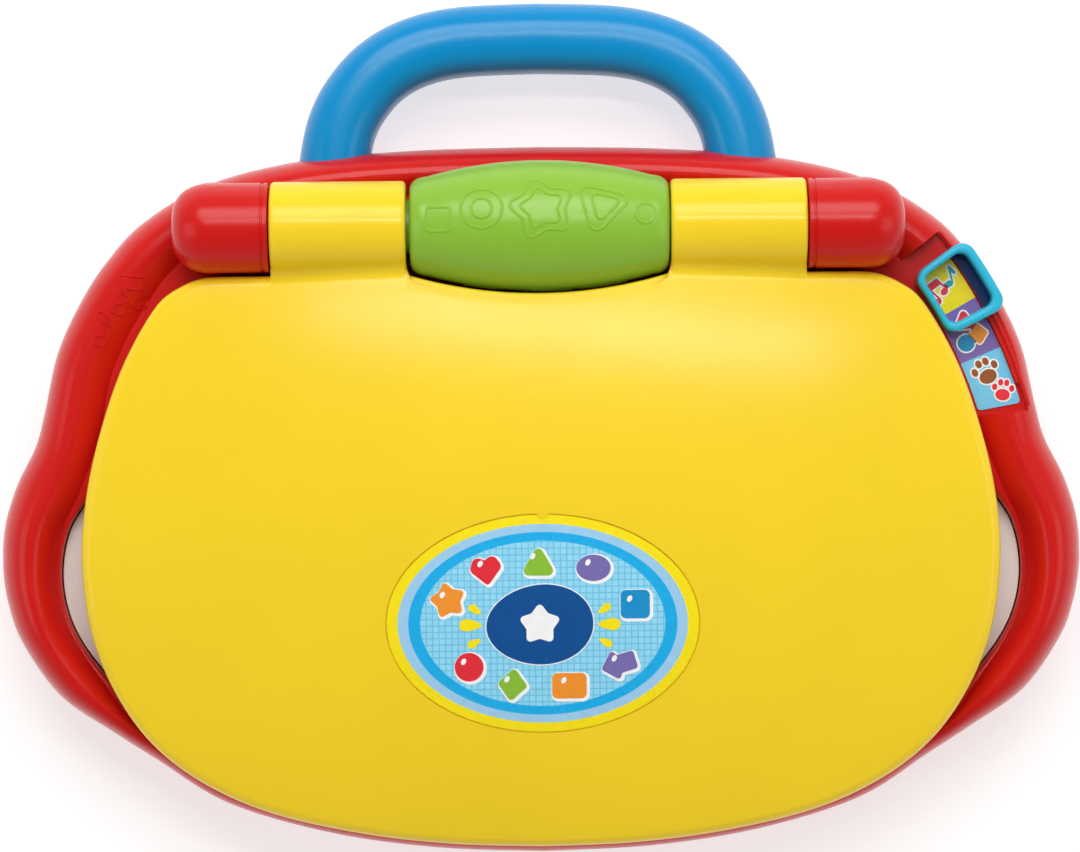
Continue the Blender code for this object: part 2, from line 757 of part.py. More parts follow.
def mode_selector():
    low = CHANNEL_FLOOR + GAP
    label = slab("mode_label", [sector(LABEL_RADII, LABEL_ANGLES, 12)], low, low + 0.3, MODEL)
    paint(label, PURPLE, 0.3)

    angles = (SLIDER_ANGLE - SLIDER_HALF_ANGLE, SLIDER_ANGLE + SLIDER_HALF_ANGLE)
    levels = [(0, 30), (0, SLIDER_TOP - 1), (1, SLIDER_TOP)]
    ring = stacked("mode_slider", sector(SLIDER_RADII, angles, 6), levels, MODEL)
    window = (SLIDER_ANGLE - SLIDER_WINDOW_HALF, SLIDER_ANGLE + SLIDER_WINDOW_HALF)
    below = under_slider()
    hole = stacked("slider_window", sector(SLIDER_WINDOW, window, 6), [(0, 28), (0, 46)], CUTTERS)
    cut(ring, below, hole)
    leg_angles = (SLIDER_ANGLE - 1.9, SLIDER_ANGLE + 1.9)
    leg = sector((SLOT_RADII[0] + GAP, SLOT_RADII[1] - GAP), leg_angles, 3)
    foot = sector((SLOT_RADII[0] + GAP, SLIDER_RADII[1] - 1.2), leg_angles, 3)
    join(
        ring,
        stacked("slider_leg", leg, [(0, 24.6), (0, 37)], CUTTERS),
        stacked("slider_foot", foot, [(0, 35.2), (0, 37.2)], CUTTERS),
    )
    paint(ring, SKY, 0.3)

    carriage_angles = (SLIDER_ANGLE - 3.0, SLIDER_ANGLE + 3.0)
    paint(slab("mode_wiper", [sector((127.5, 137.0), carriage_angles, 4)], 22.6, 24.2, MODEL), GREY, 0.5)
    board_angles = (CHANNEL_ANGLES[0] + 1.5, CHANNEL_ANGLES[1] - 1.5)
    paint(slab("mode_switch_board", [sector((126.5, 136.0), board_angles, 8)], 20.6, 22.2, MODEL), BOARD, 0.5)


def under_slider():
    """What the slider must clear: the label in the channel and the frame's rounded shoulder outside it."""
    inner, outer = SLIDER_RADII
    turns = [SLIDER_ANGLE - 7 + 14 * k / 6 for k in range(7)]
    section = [
        (inner - 3, 26),
        (inner - 3, 34.2),
        (SLOT_RADII[0] + 0.2, 34.2),
        (SLOT_RADII[0] + 0.4, BENCH_TOP + GAP),
        (SLIDER_RADII[1] - 2.3, BENCH_TOP + GAP),
        (outer + 0.5, 31.0),
        (outer + 3, 26),
    ]
    rings = []
    for turn in turns:
        c, s = math.cos(math.radians(turn)), math.sin(math.radians(turn))
        rings.append([(TRACK_CENTRE[0] + r * c, TRACK_CENTRE[1] + r * s, z) for r, z in section])
    return lofted("under_slider", rings, CUTTERS)


def handle():
    right = curve_through(HANDLE_PATH, 2)
    path = right + [(-x, y) for x, y in reversed(right[:-1])]
    for name, sign in (("handle_front_half", 1), ("handle_rear_half", -1)):
        outside = [
            (HANDLE_HALF_WIDTH * shape(math.cos(a)), HANDLE_HALF_DEPTH * shape(math.sin(a)))
            for a in [math.pi * k / 6 for k in range(7)]
        ]
        inside = [(u * 0.76, v * 0.78) for u, v in reversed(outside[::2])]
        section = [(u, max(v, 0.15)) for u, v in outside + inside]
        rings = []
        for i, point in enumerate(path):
            before, after = path[max(i - 1, 0)], path[min(i + 1, len(path) - 1)]
            along = (Vector(after) - Vector(before)).normalized()
            across = Vector((along.y, -along.x))
            rings.append(
                [(point[0] + across.x * u, point[1] + across.y * u, HANDLE_Z + sign * v) for u, v in section]
            )
        paint(lofted(name, rings, MODEL), BLUE, 0.35)


def shape(value):
    """Squares a circle a little, for the handle's soft section."""
    return math.copysign(abs(value) ** 0.85, value)


def batteries():
    for number, (y, turn) in enumerate(((BAY_CENTRE_Y + 7.8, 90), (BAY_CENTRE_Y - 7.8, -90)), 1):
        button = [(0, 25.4), (2.7, 25.4), (2.7, 23.8), (6.4, 23.8)]
        can = [(BATTERY_RADIUS, 23.1), (BATTERY_RADIUS, -24.9), (0, -24.9)]
        cell = turned(f"battery_{number}", button + can, MODEL, 16)
        sign = 1 if turn > 0 else -1
        cell.location = (sign * 2.6 * MM, y * MM, BATTERY_Z * MM)
        cell.rotation_euler.y = math.radians(turn)
        paint(cell, (60, 62, 66) if number == 1 else (196, 150, 60), 0.35, 0.6)

        end = -sign * 29.4
        turns, radius = 2.5, 4.6
        coil = []
        for k in range(19):
            t = k / 18
            angle = 2 * math.pi * turns * t
            reach = radius - 1.8 * t
            along = end + sign * (0.5 + 5.2 * t)
            coil.append((along, y + reach * math.cos(angle), BATTERY_Z + reach * math.sin(angle)))
        paint(wire(f"battery_spring_{number}", coil, 0.4, MODEL), STEEL, 0.25, 1.0)
        low, high = sorted((sign * 29.2, sign * 28.7))
        plate = box(f"battery_plate_{number}", (low, y - 6.5, 5), (high, y + 6.5, 17.8), MODEL)
        paint(plate, STEEL, 0.25, 1.0)


def battery_cover():
    y = BAY_CENTRE_Y - 3.4
    levels = [(0.5, BOTTOM), (0, BOTTOM + 0.5), (0, 3.8)]
    cover = stacked("battery_cover", placed(rectangle(33.1, 22.1, 3), (0, y)), levels, MODEL)
    screw_y = BAY_CENTRE_Y - 21.5
    cut(
        cover,
        rod("cover_head_room", 3.1, (0, screw_y, 1), (0, screw_y, 3.0), CUTTERS, 16),
        rod("cover_shank_room", 1.5, (0, screw_y, 1), (0, screw_y, 5), CUTTERS, 12),
    )
    paint(cover, RED)
    profile = [(0, 9.5), (1.15, 9.5), (1.15, 2.9), (2.7, 2.9), (2.7, 2.2), (0, 2.2)]
    screw = turned("battery_cover_screw", profile, MODEL, 12)
    screw.location = (0, screw_y * MM, 0)
    paint(screw, STEEL, 0.3, 1.0)


def main_board():
    board = slab("main_circuit_board", [rectangle(84, 27, 2)], 16.7, 18.3, MODEL)
    board.location.y = -5 * MM
    join(
        board,
        box("chip", (-9, -14, 14.8), (9, 4, 17.2), CUTTERS),
        box("amplifier", (38, -20, 15.2), (46, -12, 17.2), CUTTERS),
        rod("capacitor", 3.0, (30, -2, 10.0), (30, -2, 17.2), CUTTERS, 12),
        box("cable_socket", (-62, 14, 14.6), (-52, 20, 17.2), CUTTERS),
    )
    paint(board, BOARD, 0.5)


def key_contacts():
    sheet = slab("key_contact_sheet", [rectangle(82, 26, 3)], 18.6, 19.5, MODEL)
    sheet.location.y = -1.5 * MM
    domes = [
        turned(f"dome_{name}", [(0, 20.2), (4.0, 20.2), (5.6, 18.9), (0, 18.9)], CUTTERS, 10)
        for name, *_ in key_layout()
    ]
    for dome, (_, _, centre, _) in zip(domes, key_layout()):
        dome.location = (centre[0] * MM, centre[1] * MM, 0)
    join(sheet, *domes)
    paint(sheet, (70, 72, 76), 0.8)


def speaker():
    profile = [(0, 25.3), (17.5, 25.3), (17.5, 24.2), (15.8, 24.0), (10.0, 18.0), (10.0, 13.4), (0, 13.4)]
    driver = turned("speaker", profile, MODEL, 24)
    driver.location = (SPEAKER_CENTRE[0] * MM, SPEAKER_CENTRE[1] * MM, 0)
    paint(driver, GREY, 0.5, 0.4)


def roller_contact():
    contact = slab("roller_contact", [rectangle(3.5, 5.0, 1)], 22.5, 24.5, MODEL)
    contact.location = (28 * MM, HINGE_Y * MM, contact.location.z)
    join(contact, box("contact_finger", (26.8, HINGE_Y - 1.2, 23), (29.2, HINGE_Y + 1.2, 31.2), CUTTERS))
    paint(contact, (214, 168, 92), 0.3, 1.0)


def feet_and_screws():
    for side, (x, y), i in both_sides(FEET):
        place = "rear" if i == 1 else "front"
        profile = [(0, FOOT_HEIGHT), (7, FOOT_HEIGHT), (7, 0.6), (6.2, 0), (0, 0)]
        foot = turned(f"foot_{place}_{side}", profile, MODEL, 16)
        foot.location = (x * MM, y * MM, 0)
        paint(foot, (60, 60, 62), 0.85)
    for side, (x, y), i in both_sides(BASE_SCREWS):
        profile = [(0, 21.5), (1.35, 21.5), (1.35, 7.5), (3.0, 7.5), (3.0, 6.3), (2.2, 5.6), (0, 5.6)]
        screw = turned(f"base_screw_{side}_{i}", profile, MODEL, 10)
        screw.location = (x * MM, y * MM, 0)
        paint(screw, STEEL, 0.3, 1.0)


# ---------------------------------------------------------------- lid


def domed(name, outline, wall_low, drop, collection):
    """A solid whose top follows the lid's dome, lowered by drop, with upright sides and rounded top edges."""
    centre = Vector((0, -36))
    levels = [(0.0, None, wall_low), (0.0, 3.4, None), (0.5, 1.6, None), (1.6, 0.5, None), (3.4, 0.0, None)]
    rings = []
    for step, below, height in levels:
        ring = inset(outline, step)
        rings.append([(x, y, height if below is None else lid_height(x, y) - drop - below) for x, y in ring])
    last = inset(outline, 3.4)
    for share in (0.72, 0.44, 0.16):
        ring = [centre + (Vector(point) - centre) * share for point in last]
        rings.append([(p.x, p.y, lid_height(p.x, p.y) - drop) for p in ring])
    return lofted(name, rings, collection)


def draped(name, outline, low, high, collection):
    """A plate that follows the lid's dome, from low to high above it."""
    shares = (0.06, 0.55, 1.0)
    centre = Vector((0, BADGE_CENTRE_Y))
    rings = []
    for rise, order in ((low, shares), (high, shares[::-1])):
        for share in order:
            ring = [centre + (Vector(point) - centre) * share for point in outline]
            rings.append([(p.x, p.y, lid_height(p.x, p.y) + rise) for p in ring])
    return lofted(name, rings, collection)


def lid_shell():
    outline = lid_outline()
    shell = domed("lid_outer_shell", outline, LID_EDGE, 0.0, MODEL)
    room = domed("lid_room", inset(outline, WALL), LID_EDGE - 4, WALL, CUTTERS)
    solids, holes = [], []
    for side in (-1, 1):
        inner, outer = side * KNUCKLE_INNER, side * KNUCKLE_OUTER
        solids.append(rod("knuckle", KNUCKLE_RADIUS, hinge_point(inner), hinge_point(outer), CUTTERS, 28))
        low_x, high_x = sorted((inner, outer))
        solids.append(box("neck", (low_x + 0.02, 38.5, 39), (high_x - 0.02, 47, 51.0), CUTTERS))
        start, end = hinge_point(inner - side), hinge_point(outer + side)
        holes.append(rod("knuckle_bore", KNUCKLE_BORE, start, end, CUTTERS, 20))
    join(shell, *solids)
    cut(shell, room)
    cut(shell, *holes)
    cut(shell, box("cable_hole", (-58, 37.5, 43), (-52, 50, 48), CUTTERS))
    posts, pilots = [], []
    for side, (x, y), i in both_sides(LID_SCREWS):
        foot, top = (x, y, PANEL_HIGH + GAP), (x, y, lid_height(x, y) - 1.0)
        posts.append(rod(f"lid_post_{side}_{i}", 3.6, foot, top, CUTTERS, 10))
        pilots.append(rod(f"lid_pilot_{side}_{i}", 1.6, (x, y, 36), (x, y, 45.5), CUTTERS, 8))
    join(shell, *posts)
    cut(shell, *pilots)
    seat = placed(ellipse(BADGE_HALF[0] + 0.35, BADGE_HALF[1] + 0.35, 32), (0, BADGE_CENTRE_Y))
    cut(shell, draped("badge_seat", seat, -0.7, 3.0, CUTTERS))
    return paint(shell, YELLOW)


def lid_panel_and_screen():
    edge = inset(lid_outline(), WALL + 0.4)
    window = placed(rectangle(*SCREEN_HALF, 12, 4), (0, SCREEN_CENTRE_Y))
    places = [place for _, place, _ in both_sides(LID_SCREWS)]
    holes = [placed(ellipse(1.7, 1.7, 12), place) for place in places]
    panel = slab("lid_inner_panel", [edge, window, *holes], PANEL_LOW, PANEL_HIGH, MODEL)
    for place in places:
        cut(panel, rod("head_pocket", 3.2, (*place, 30), (*place, PANEL_LOW + 1.3), CUTTERS, 16))
    paint(panel, WHITE)

    lens = slab("screen_window", [inset(window, GAP)], PANEL_LOW + 0.2, PANEL_HIGH - 0.4, MODEL)
    paint(lens, (200, 230, 242), 0.1)
    picture = slab("screen_picture", [inset(window, -3)], PANEL_HIGH + GAP, PANEL_HIGH + 0.7, MODEL)
    paint(picture, SKY, 0.5)
    rims = [inset(window, -6), inset(window, -0.6)]
    bezel = slab("screen_bezel", rims, PANEL_LOW - 1.1, PANEL_LOW - GAP, MODEL)
    paint(bezel, BLUE, 0.3)


def lamp_board():
    board = box("lid_led_board", (-24, -44, 46.0), (24, -22, 47.6), MODEL)
    lamps = [
        turned(f"lamp_{k}", [(0, 46.6), (2.5, 46.6), (2.5, 42.6), (1.6, 41.0), (0, 40.4)], CUTTERS, 12)
        for k in range(3)
    ]
    for k, lamp in enumerate(lamps):
        lamp.location = ((k - 1) * 15 * MM, SCREEN_CENTRE_Y * MM, 0)
    join(board, *lamps)
    paint(board, BOARD, 0.5)


def lid_screws():
    for side, (x, y), i in both_sides(LID_SCREWS):
        profile = [(0, 45.0), (1.25, 45.0), (1.25, 37.2), (2.8, 37.2), (2.8, 36.6), (2.0, 36.1), (0, 36.1)]
        screw = turned(f"lid_screw_{side}_{i}", profile, MODEL, 10)
        screw.location = (x * MM, y * MM, 0)
        paint(screw, STEEL, 0.3, 1.0)


def lid_badge():
    outline = placed(ellipse(*BADGE_HALF, 32), (0, BADGE_CENTRE_Y))
    return paint(draped("lid_badge", outline, -0.4, 0.1, MODEL), SKY, 0.25)


def roller():
    def radius(x):
        return ROLLER_RADIUS - (ROLLER_ARC - math.sqrt(ROLLER_ARC**2 - x * x))

    half = [(COLLAR_RADIUS, COLLAR_TIP), (COLLAR_RADIUS, ROLLER_HALF)]
    half += [(radius(35) - 2.0, ROLLER_HALF), (radius(35) - 0.7, 35.0)]
    half += [(radius(x), x) for x in (33.6, 23.0, 12.0)]
    hollow = [(5.0, COLLAR_TIP), (5.0, 33.0), (9.5, 32.0), (radius(0) - WALL, 0.0)]
    outside = half + [(radius(0), 0.0)] + [(r, -x) for r, x in reversed(half)]
    inside = [(r, -x) for r, x in hollow] + [(r, x) for r, x in reversed(hollow[:-1])]
    barrel = turned("roller", outside + inside, MODEL, 24, closed=True)
    barrel.rotation_euler.y = math.radians(90)
    barrel.location = [c * MM for c in hinge_point(ROLLER_SHIFT)]
    return paint(barrel, GREEN)


def cables():
    """The lamp cable, in two lengths that meet on the hinge line inside the left knuckle."""
    rising = [(-57, 20.9, 14.9), (-60, 26, 15.2), (-66, 35, 16.8), (-76, 44, 19.5)]
    rising += [(-84, 51, 29), (-86, 54.5, 42)]
    in_boss = [hinge_point(x) for x in (-80, -68, -61.6)]
    paint(wire("base_cable", curve_through(rising + in_boss, 3), 1.2, MODEL), GREY, 0.6)
    in_knuckle = [hinge_point(-61.2), (-58, 54.4, HINGE_Z), (-55.2, 50, 46.6), (-55, 42, 45.4)]
    in_lid = [(-55, 34, 45.6), (-50, 16, 49), (-34, -8, 50.6), (-22, -24, 50.4), (-18, -29, 49.2)]
    paint(wire("lid_cable", curve_through(in_knuckle + in_lid, 3), 1.2, MODEL), GREY, 0.6)


clear_scene()
MODEL = make_collection("toy_laptop")
CUTTERS = make_collection("cutters")
CUTTERS.hide_render = True

lower_shell()
upper_frame()
deck()
keyboard_label()
keys()
mouse()
volume_switch()
mode_selector()
handle()
batteries()
battery_cover()
main_board()
key_contacts()
speaker()
roller_contact()
feet_and_screws()
roller()
lid_shell()
lid_panel_and_screen()
lamp_board()
lid_screws()
lid_badge()
cables()
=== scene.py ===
"""The looks of the toy laptop: fine shells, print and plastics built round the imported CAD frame.

Lengths in the functions below are millimetres and MM turns them into Blender's metres.
"""

import json
import math

import bmesh
import bpy
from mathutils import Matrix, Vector


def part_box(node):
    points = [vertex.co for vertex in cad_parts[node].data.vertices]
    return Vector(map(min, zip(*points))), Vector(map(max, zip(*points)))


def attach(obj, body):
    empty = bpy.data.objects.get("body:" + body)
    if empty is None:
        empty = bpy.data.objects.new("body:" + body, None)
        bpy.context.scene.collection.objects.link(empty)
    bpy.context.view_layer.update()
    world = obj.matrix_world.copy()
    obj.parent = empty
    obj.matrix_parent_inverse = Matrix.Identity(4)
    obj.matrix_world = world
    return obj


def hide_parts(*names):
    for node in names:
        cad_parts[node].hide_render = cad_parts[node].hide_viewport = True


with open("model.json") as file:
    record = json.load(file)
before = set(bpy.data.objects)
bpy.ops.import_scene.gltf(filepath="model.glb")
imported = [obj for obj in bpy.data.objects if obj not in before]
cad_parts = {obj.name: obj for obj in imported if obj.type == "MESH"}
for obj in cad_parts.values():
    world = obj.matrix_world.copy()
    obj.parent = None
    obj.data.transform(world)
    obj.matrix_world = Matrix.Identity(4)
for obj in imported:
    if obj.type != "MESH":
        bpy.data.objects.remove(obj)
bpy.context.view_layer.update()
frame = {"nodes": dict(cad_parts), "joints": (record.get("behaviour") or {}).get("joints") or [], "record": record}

MM = 0.001
JOINTS = {joint["name"]: joint for joint in frame["joints"]}
SLOTS = {part["node"]: part["material_slot"] for part in frame["record"]["subparts"]}


def box_mm(node):
    low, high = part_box(node)
    return [c / MM for c in low], [c / MM for c in high]


# ---------------------------------------------------------------- sizes, from the frame where it holds them

HINGE_Y, HINGE_Z = [c / MM for c in JOINTS["lid_hinge"]["pos_m"][1:]]
TRACK_CENTRE = tuple(c / MM for c in JOINTS["mode_slide"]["pos_m"][:2])
HALF_WIDTH = box_mm("base_upper_frame")[1][0]
PARTING = box_mm("base_lower_shell")[1][2]
BOTTOM = box_mm("base_lower_shell")[0][2]
DECK_TOP = box_mm("keyboard_deck")[1][2]
LID_EDGE = box_mm("lid_outer_shell")[0][2]
PANEL_LOW = box_mm("lid_inner_panel")[0][2]
PANEL_HIGH = box_mm("lid_inner_panel")[1][2]
GAP = 0.3
WALL = 2.2
CROWN = 59.0
RIM_FLOOR = 33.5

KNUCKLE_RADIUS = 12.5
KNUCKLE_BORE = 7.8
KNUCKLE_INNER = 36.2
KNUCKLE_OUTER = 73.4
BOSS_RADIUS = 12.3
BOSS_INNER = KNUCKLE_OUTER + 0.4
BOSS_END = 100.5
ROLLER_RADIUS = 18.1
ROLLER_HALF = 35.5
ROLLER_ARC = 114.7
ROLLER_SHIFT = 0.35
SHAPE_RISE = 0.25

LABEL_RADII = (123.8, 135.7)
CHANNEL_RADII = (123.2, 136.9)
CHANNEL_TOP_ANGLE = 38.2
CHANNEL_FLOOR = 33.2
BENCH_TOP = 34.6
SLIDER_ANGLE = 31.3
SLIDER_HALF_ANGLE = 4.5
RING_OPENING = (SLIDER_ANGLE - 3.4, SLIDER_ANGLE + 3.6)
SLIDER_RADII = (123.6, 141.8)
SLIDER_TOP = box_mm("mode_slider")[1][2]

HANDLE_Z = 20.5
HANDLE_HALF_WIDTH = 9.8
HANDLE_HALF_DEPTH = 11.0
BADGE_CENTRE = (0.3, -53.8)
BADGE_HALF = (42.6, 29.7)
SPEAKER_CENTRE = (108.0, -38.0)
MOUSE_Y = -63.0
VOLUME_CENTRE = (-72.0, -63.0)
SCREEN_CENTRE_Y = -33.0
SCREEN_HALF = (72.0, 40.0)
BASE_SCREWS = [(90, 26), (111, -67), (50, -96)]
LID_SCREWS = [(92, 18), (84, -84)]
FEET = [(102, 40), (78, -88)]
BAY_CENTRE_Y = -74.0

# The body's ribs, as part.py has them: outer point, inner point, crest in and height, slope in and height
RIBS = [
    ((0.0, 77.8), (0.0, 37.5), 7.0, 38.0, 13.0, RIM_FLOOR),
    ((34.0, 77.1), (28.0, 37.5), 7.0, 38.0, 13.0, RIM_FLOOR),
    ((66.0, 74.4), (56.0, 37.5), 7.0, 38.0, 13.0, RIM_FLOOR),
    ((91.6, 68.2), (80.0, 37.2), 7.5, 38.0, 14.0, RIM_FLOOR),
    ((110.0, 57.7), (95.0, 34.5), 8.5, 38.0, 16.0, RIM_FLOOR),
    ((120.6, 46.5), (103.0, 27.5), 8.5, 38.0, 17.0, RIM_FLOOR),
    ((127.9, 35.3), (107.6, 20.5), 8.5, 38.0, 17.0, RIM_FLOOR),
    ((134.3, 21.3), (112.7, 11.0), 8.5, 38.0, 17.0, RIM_FLOOR),
    ((138.0, 5.0), (116.8, 0.0), 8.5, 38.0, 17.0, RIM_FLOOR),
    ((140.6, -4.5), (119.8, -8.0), 9.0, 38.2, 17.0, RIM_FLOOR),
    ((145.8, -15.1), (125.5, -18.5), 9.5, 38.5, 18.0, RIM_FLOOR),
    ((149.3, -26.5), (131.0, -27.5), 9.0, 38.8, 16.8, 32.2),
    ((150.0, -38.0), (133.2, -38.5), 8.5, 38.8, 15.7, 31.8),
    ((148.4, -49.0), (132.0, -49.5), 8.5, 38.8, 15.2, 31.8),
    ((144.3, -59.9), (127.6, -59.6), 8.5, 38.6, 15.7, 32.2),
    ((134.0, -74.2), (119.0, -70.5), 7.5, 37.8, 13.5, RIM_FLOOR),
    ((119.0, -84.6), (109.0, -79.0), 4.5, 35.6, 6.8, 34.0),
    ((107.5, -92.0), (99.0, -86.5), 4.5, 34.5, 6.0, 34.2),
    ((88.0, -104.2), (81.0, -96.5), 4.5, 34.4, 6.0, 34.2),
    ((60.0, -112.7), (55.0, -104.5), 4.5, 34.4, 6.0, 34.2),
    ((30.0, -117.2), (28.0, -108.5), 4.5, 34.4, 6.0, 34.2),
    ((0.0, -118.5), (0.0, -109.5), 4.5, 34.4, 6.0, 34.2),
]
RIB_STEPS = 6
LID_BACK = 41.7
LID_NOTCH = 36.3
LID_SIDE = [
    (84.0, LID_BACK),
    (92.5, 41.3),
    (99.6, 38.4),
    (105.0, 34.0),
    (111.4, 23.7),
    (116.4, 12.7),
    (121.0, -1.5),
    (124.2, -14.9),
    (126.0, -28.5),
    (126.0, -41.0),
    (123.6, -57.0),
    (117.5, -72.5),
    (107.7, -86.5),
    (93.8, -97.5),
    (75.0, -106.0),
    (50.0, -111.8),
    (25.0, -114.8),
    (0.0, -115.7),
]
HANDLE_PATH = [
    (57.6, 65.0),
    (56.8, 74.0),
    (54.6, 84.0),
    (50.4, 92.0),
    (43.6, 99.4),
    (34.0, 104.7),
    (21.0, 107.5),
    (0.0, 108.3),
]

YELLOW = (248, 212, 40)
RED = (206, 22, 18)
BLUE = (0, 138, 200)
SLIDER_BLUE = (46, 182, 216)
GREEN = (138, 188, 50)
WHITE = (252, 246, 242)
ORANGE = (244, 146, 36)
PURPLE = (126, 102, 178)
PINK_RED = (230, 44, 58)
NAVY = (0, 78, 148)
LEMON = (255, 230, 12)
PERIWINKLE = (160, 208, 240)
CYAN = (22, 176, 236)
FIELD = (146, 216, 242)
PAPER = (250, 250, 250)
GREY = (88, 90, 94)


# ---------------------------------------------------------------- procedural materials


def linear(colour, lift=1.0):
    """A screen colour from 0 to 255 as Blender's linear colour."""
    shares = [c / 255 for c in colour]
    values = [s / 12.92 if s <= 0.04045 else ((s + 0.055) / 1.055) ** 2.4 for s in shares]
    return (*[min(1.0, v * lift) for v in values], 1.0)


def node_material(name):
    material = bpy.data.materials.new(name)
    material.use_nodes = True
    tree = material.node_tree
    shader = tree.nodes["Principled BSDF"]
    place = tree.nodes.new("ShaderNodeTexCoord")
    return material, tree, shader, place.outputs["Object"]


def noise(tree, place, scale, detail=2.0):
    texture = tree.nodes.new("ShaderNodeTexNoise")
    texture.inputs["Scale"].default_value = scale
    texture.inputs["Detail"].default_value = detail
    tree.links.new(place, texture.inputs["Vector"])
    return texture.outputs["Fac"]


def ramp(tree, value, low, high):
    """Low to high colour as value goes from 0.3 to 0.7."""
    blend = tree.nodes.new("ShaderNodeValToRGB")
    blend.color_ramp.elements[0].position = 0.3
    blend.color_ramp.elements[0].color = low
    blend.color_ramp.elements[1].position = 0.7
    blend.color_ramp.elements[1].color = high
    tree.links.new(value, blend.inputs["Fac"])
    return blend.outputs["Color"]


def spread(tree, value, low, high):
    """The value from 0.3 to 0.7, mapped to low to high."""
    node = tree.nodes.new("ShaderNodeMapRange")
    node.inputs["From Min"].default_value = 0.3
    node.inputs["From Max"].default_value = 0.7
    node.inputs["To Min"].default_value = low
    node.inputs["To Max"].default_value = high
    tree.links.new(value, node.inputs["Value"])
    return node.outputs["Result"]


def bump(tree, shader, height, strength, distance):
    node = tree.nodes.new("ShaderNodeBump")
    node.inputs["Strength"].default_value = strength
    node.inputs["Distance"].default_value = distance
    tree.links.new(height, node.inputs["Height"])
    tree.links.new(node.outputs["Normal"], shader.inputs["Normal"])


def plastic(name, colour, rough=0.25, grain=0.02, gloss=0.3):
    """Moulded plastic: faint flow marks in colour and gloss, and a fine orange peel."""
    material, tree, shader, place = node_material(name)
    flow = noise(tree, place, 14.0, 3.0)
    tree.links.new(ramp(tree, flow, linear(colour, 0.96), linear(colour, 1.02)), shader.inputs["Base Color"])
    sheen = spread(tree, noise(tree, place, 60.0, 2.0), rough * 0.93, rough * 1.08)
    tree.links.new(sheen, shader.inputs["Roughness"])
    bump(tree, shader, noise(tree, place, 900.0, 2.0), grain, 0.0004)
    shader.inputs["Specular IOR Level"].default_value = gloss
    return material


def printed(name, colour, rough=0.26):
    """Ink on a glossy film, with the slight unevenness of print."""
    material, tree, shader, place = node_material(name)
    ink = noise(tree, place, 420.0, 3.0)
    tree.links.new(ramp(tree, ink, linear(colour, 0.97), linear(colour, 1.02)), shader.inputs["Base Color"])
    sheen = spread(tree, noise(tree, place, 120.0), rough * 0.9, rough * 1.15)
    tree.links.new(sheen, shader.inputs["Roughness"])
    bump(tree, shader, noise(tree, place, 700.0), 0.03, 0.0002)
    shader.inputs["Coat Weight"].default_value = 0.25
    shader.inputs["Coat Roughness"].default_value = 0.1
    return material


def woven_print(name, colour, line, pitch):
    """The printed lattice behind the badge's icons."""
    material, tree, shader, place = node_material(name)
    grid = tree.nodes.new("ShaderNodeTexBrick")
    grid.offset = 0.0
    grid.inputs["Color1"].default_value = linear(colour, 1.0)
    grid.inputs["Color2"].default_value = linear(colour, 1.08)
    grid.inputs["Mortar"].default_value = linear(line)
    grid.inputs["Scale"].default_value = 1 / (pitch * MM)
    grid.inputs["Mortar Size"].default_value = 0.13
    grid.inputs["Mortar Smooth"].default_value = 0.6
    grid.inputs["Brick Width"].default_value = 1.0
    grid.inputs["Row Height"].default_value = 1.0
    tree.links.new(place, grid.inputs["Vector"])
    tree.links.new(grid.outputs["Color"], shader.inputs["Base Color"])
    tree.links.new(spread(tree, noise(tree, place, 120.0), 0.24, 0.3), shader.inputs["Roughness"])
    shader.inputs["Coat Weight"].default_value = 0.25
    return material


def metal(name, colour, rough, streak=400.0):
    material, tree, shader, place = node_material(name)
    marks = noise(tree, place, streak, 5.0)
    tree.links.new(ramp(tree, marks, linear(colour, 0.8), linear(colour, 1.1)), shader.inputs["Base Color"])
    tree.links.new(spread(tree, marks, rough * 0.8, rough * 1.3), shader.inputs["Roughness"])
    bump(tree, shader, marks, 0.08, 0.0002)
    shader.inputs["Metallic"].default_value = 1.0
    return material


def rubber(name, colour, rough=0.75):
    material, tree, shader, place = node_material(name)
    dust = noise(tree, place, 60.0, 5.0)
    tree.links.new(ramp(tree, dust, linear(colour, 0.85), linear(colour, 1.25)), shader.inputs["Base Color"])
    tree.links.new(spread(tree, dust, rough * 0.9, rough * 1.1), shader.inputs["Roughness"])
    bump(tree, shader, noise(tree, place, 1500.0, 3.0), 0.25, 0.0003)
    return material


def clear_plastic(name):
    material, tree, shader, place = node_material(name)
    tree.links.new(spread(tree, noise(tree, place, 50.0), 0.04, 0.09), shader.inputs["Roughness"])
    shader.inputs["Base Color"].default_value = (0.92, 0.97, 1.0, 1.0)
    shader.inputs["Transmission Weight"].default_value = 1.0
    shader.inputs["IOR"].default_value = 1.45
    return material


def circuit(name):
    """Green board: darker solder mask over lighter copper runs."""
    material, tree, shader, place = node_material(name)
    tracks = tree.nodes.new("ShaderNodeTexBrick")
    tracks.inputs["Color1"].default_value = linear((22, 92, 54))
    tracks.inputs["Color2"].default_value = linear((28, 104, 60))
    tracks.inputs["Mortar"].default_value = linear((72, 142, 84))
    tracks.inputs["Scale"].default_value = 160.0
    tracks.inputs["Mortar Size"].default_value = 0.04
    tree.links.new(place, tracks.inputs["Vector"])
    tree.links.new(tracks.outputs["Color"], shader.inputs["Base Color"])
    tree.links.new(spread(tree, noise(tree, place, 200.0), 0.35, 0.5), shader.inputs["Roughness"])
    return material


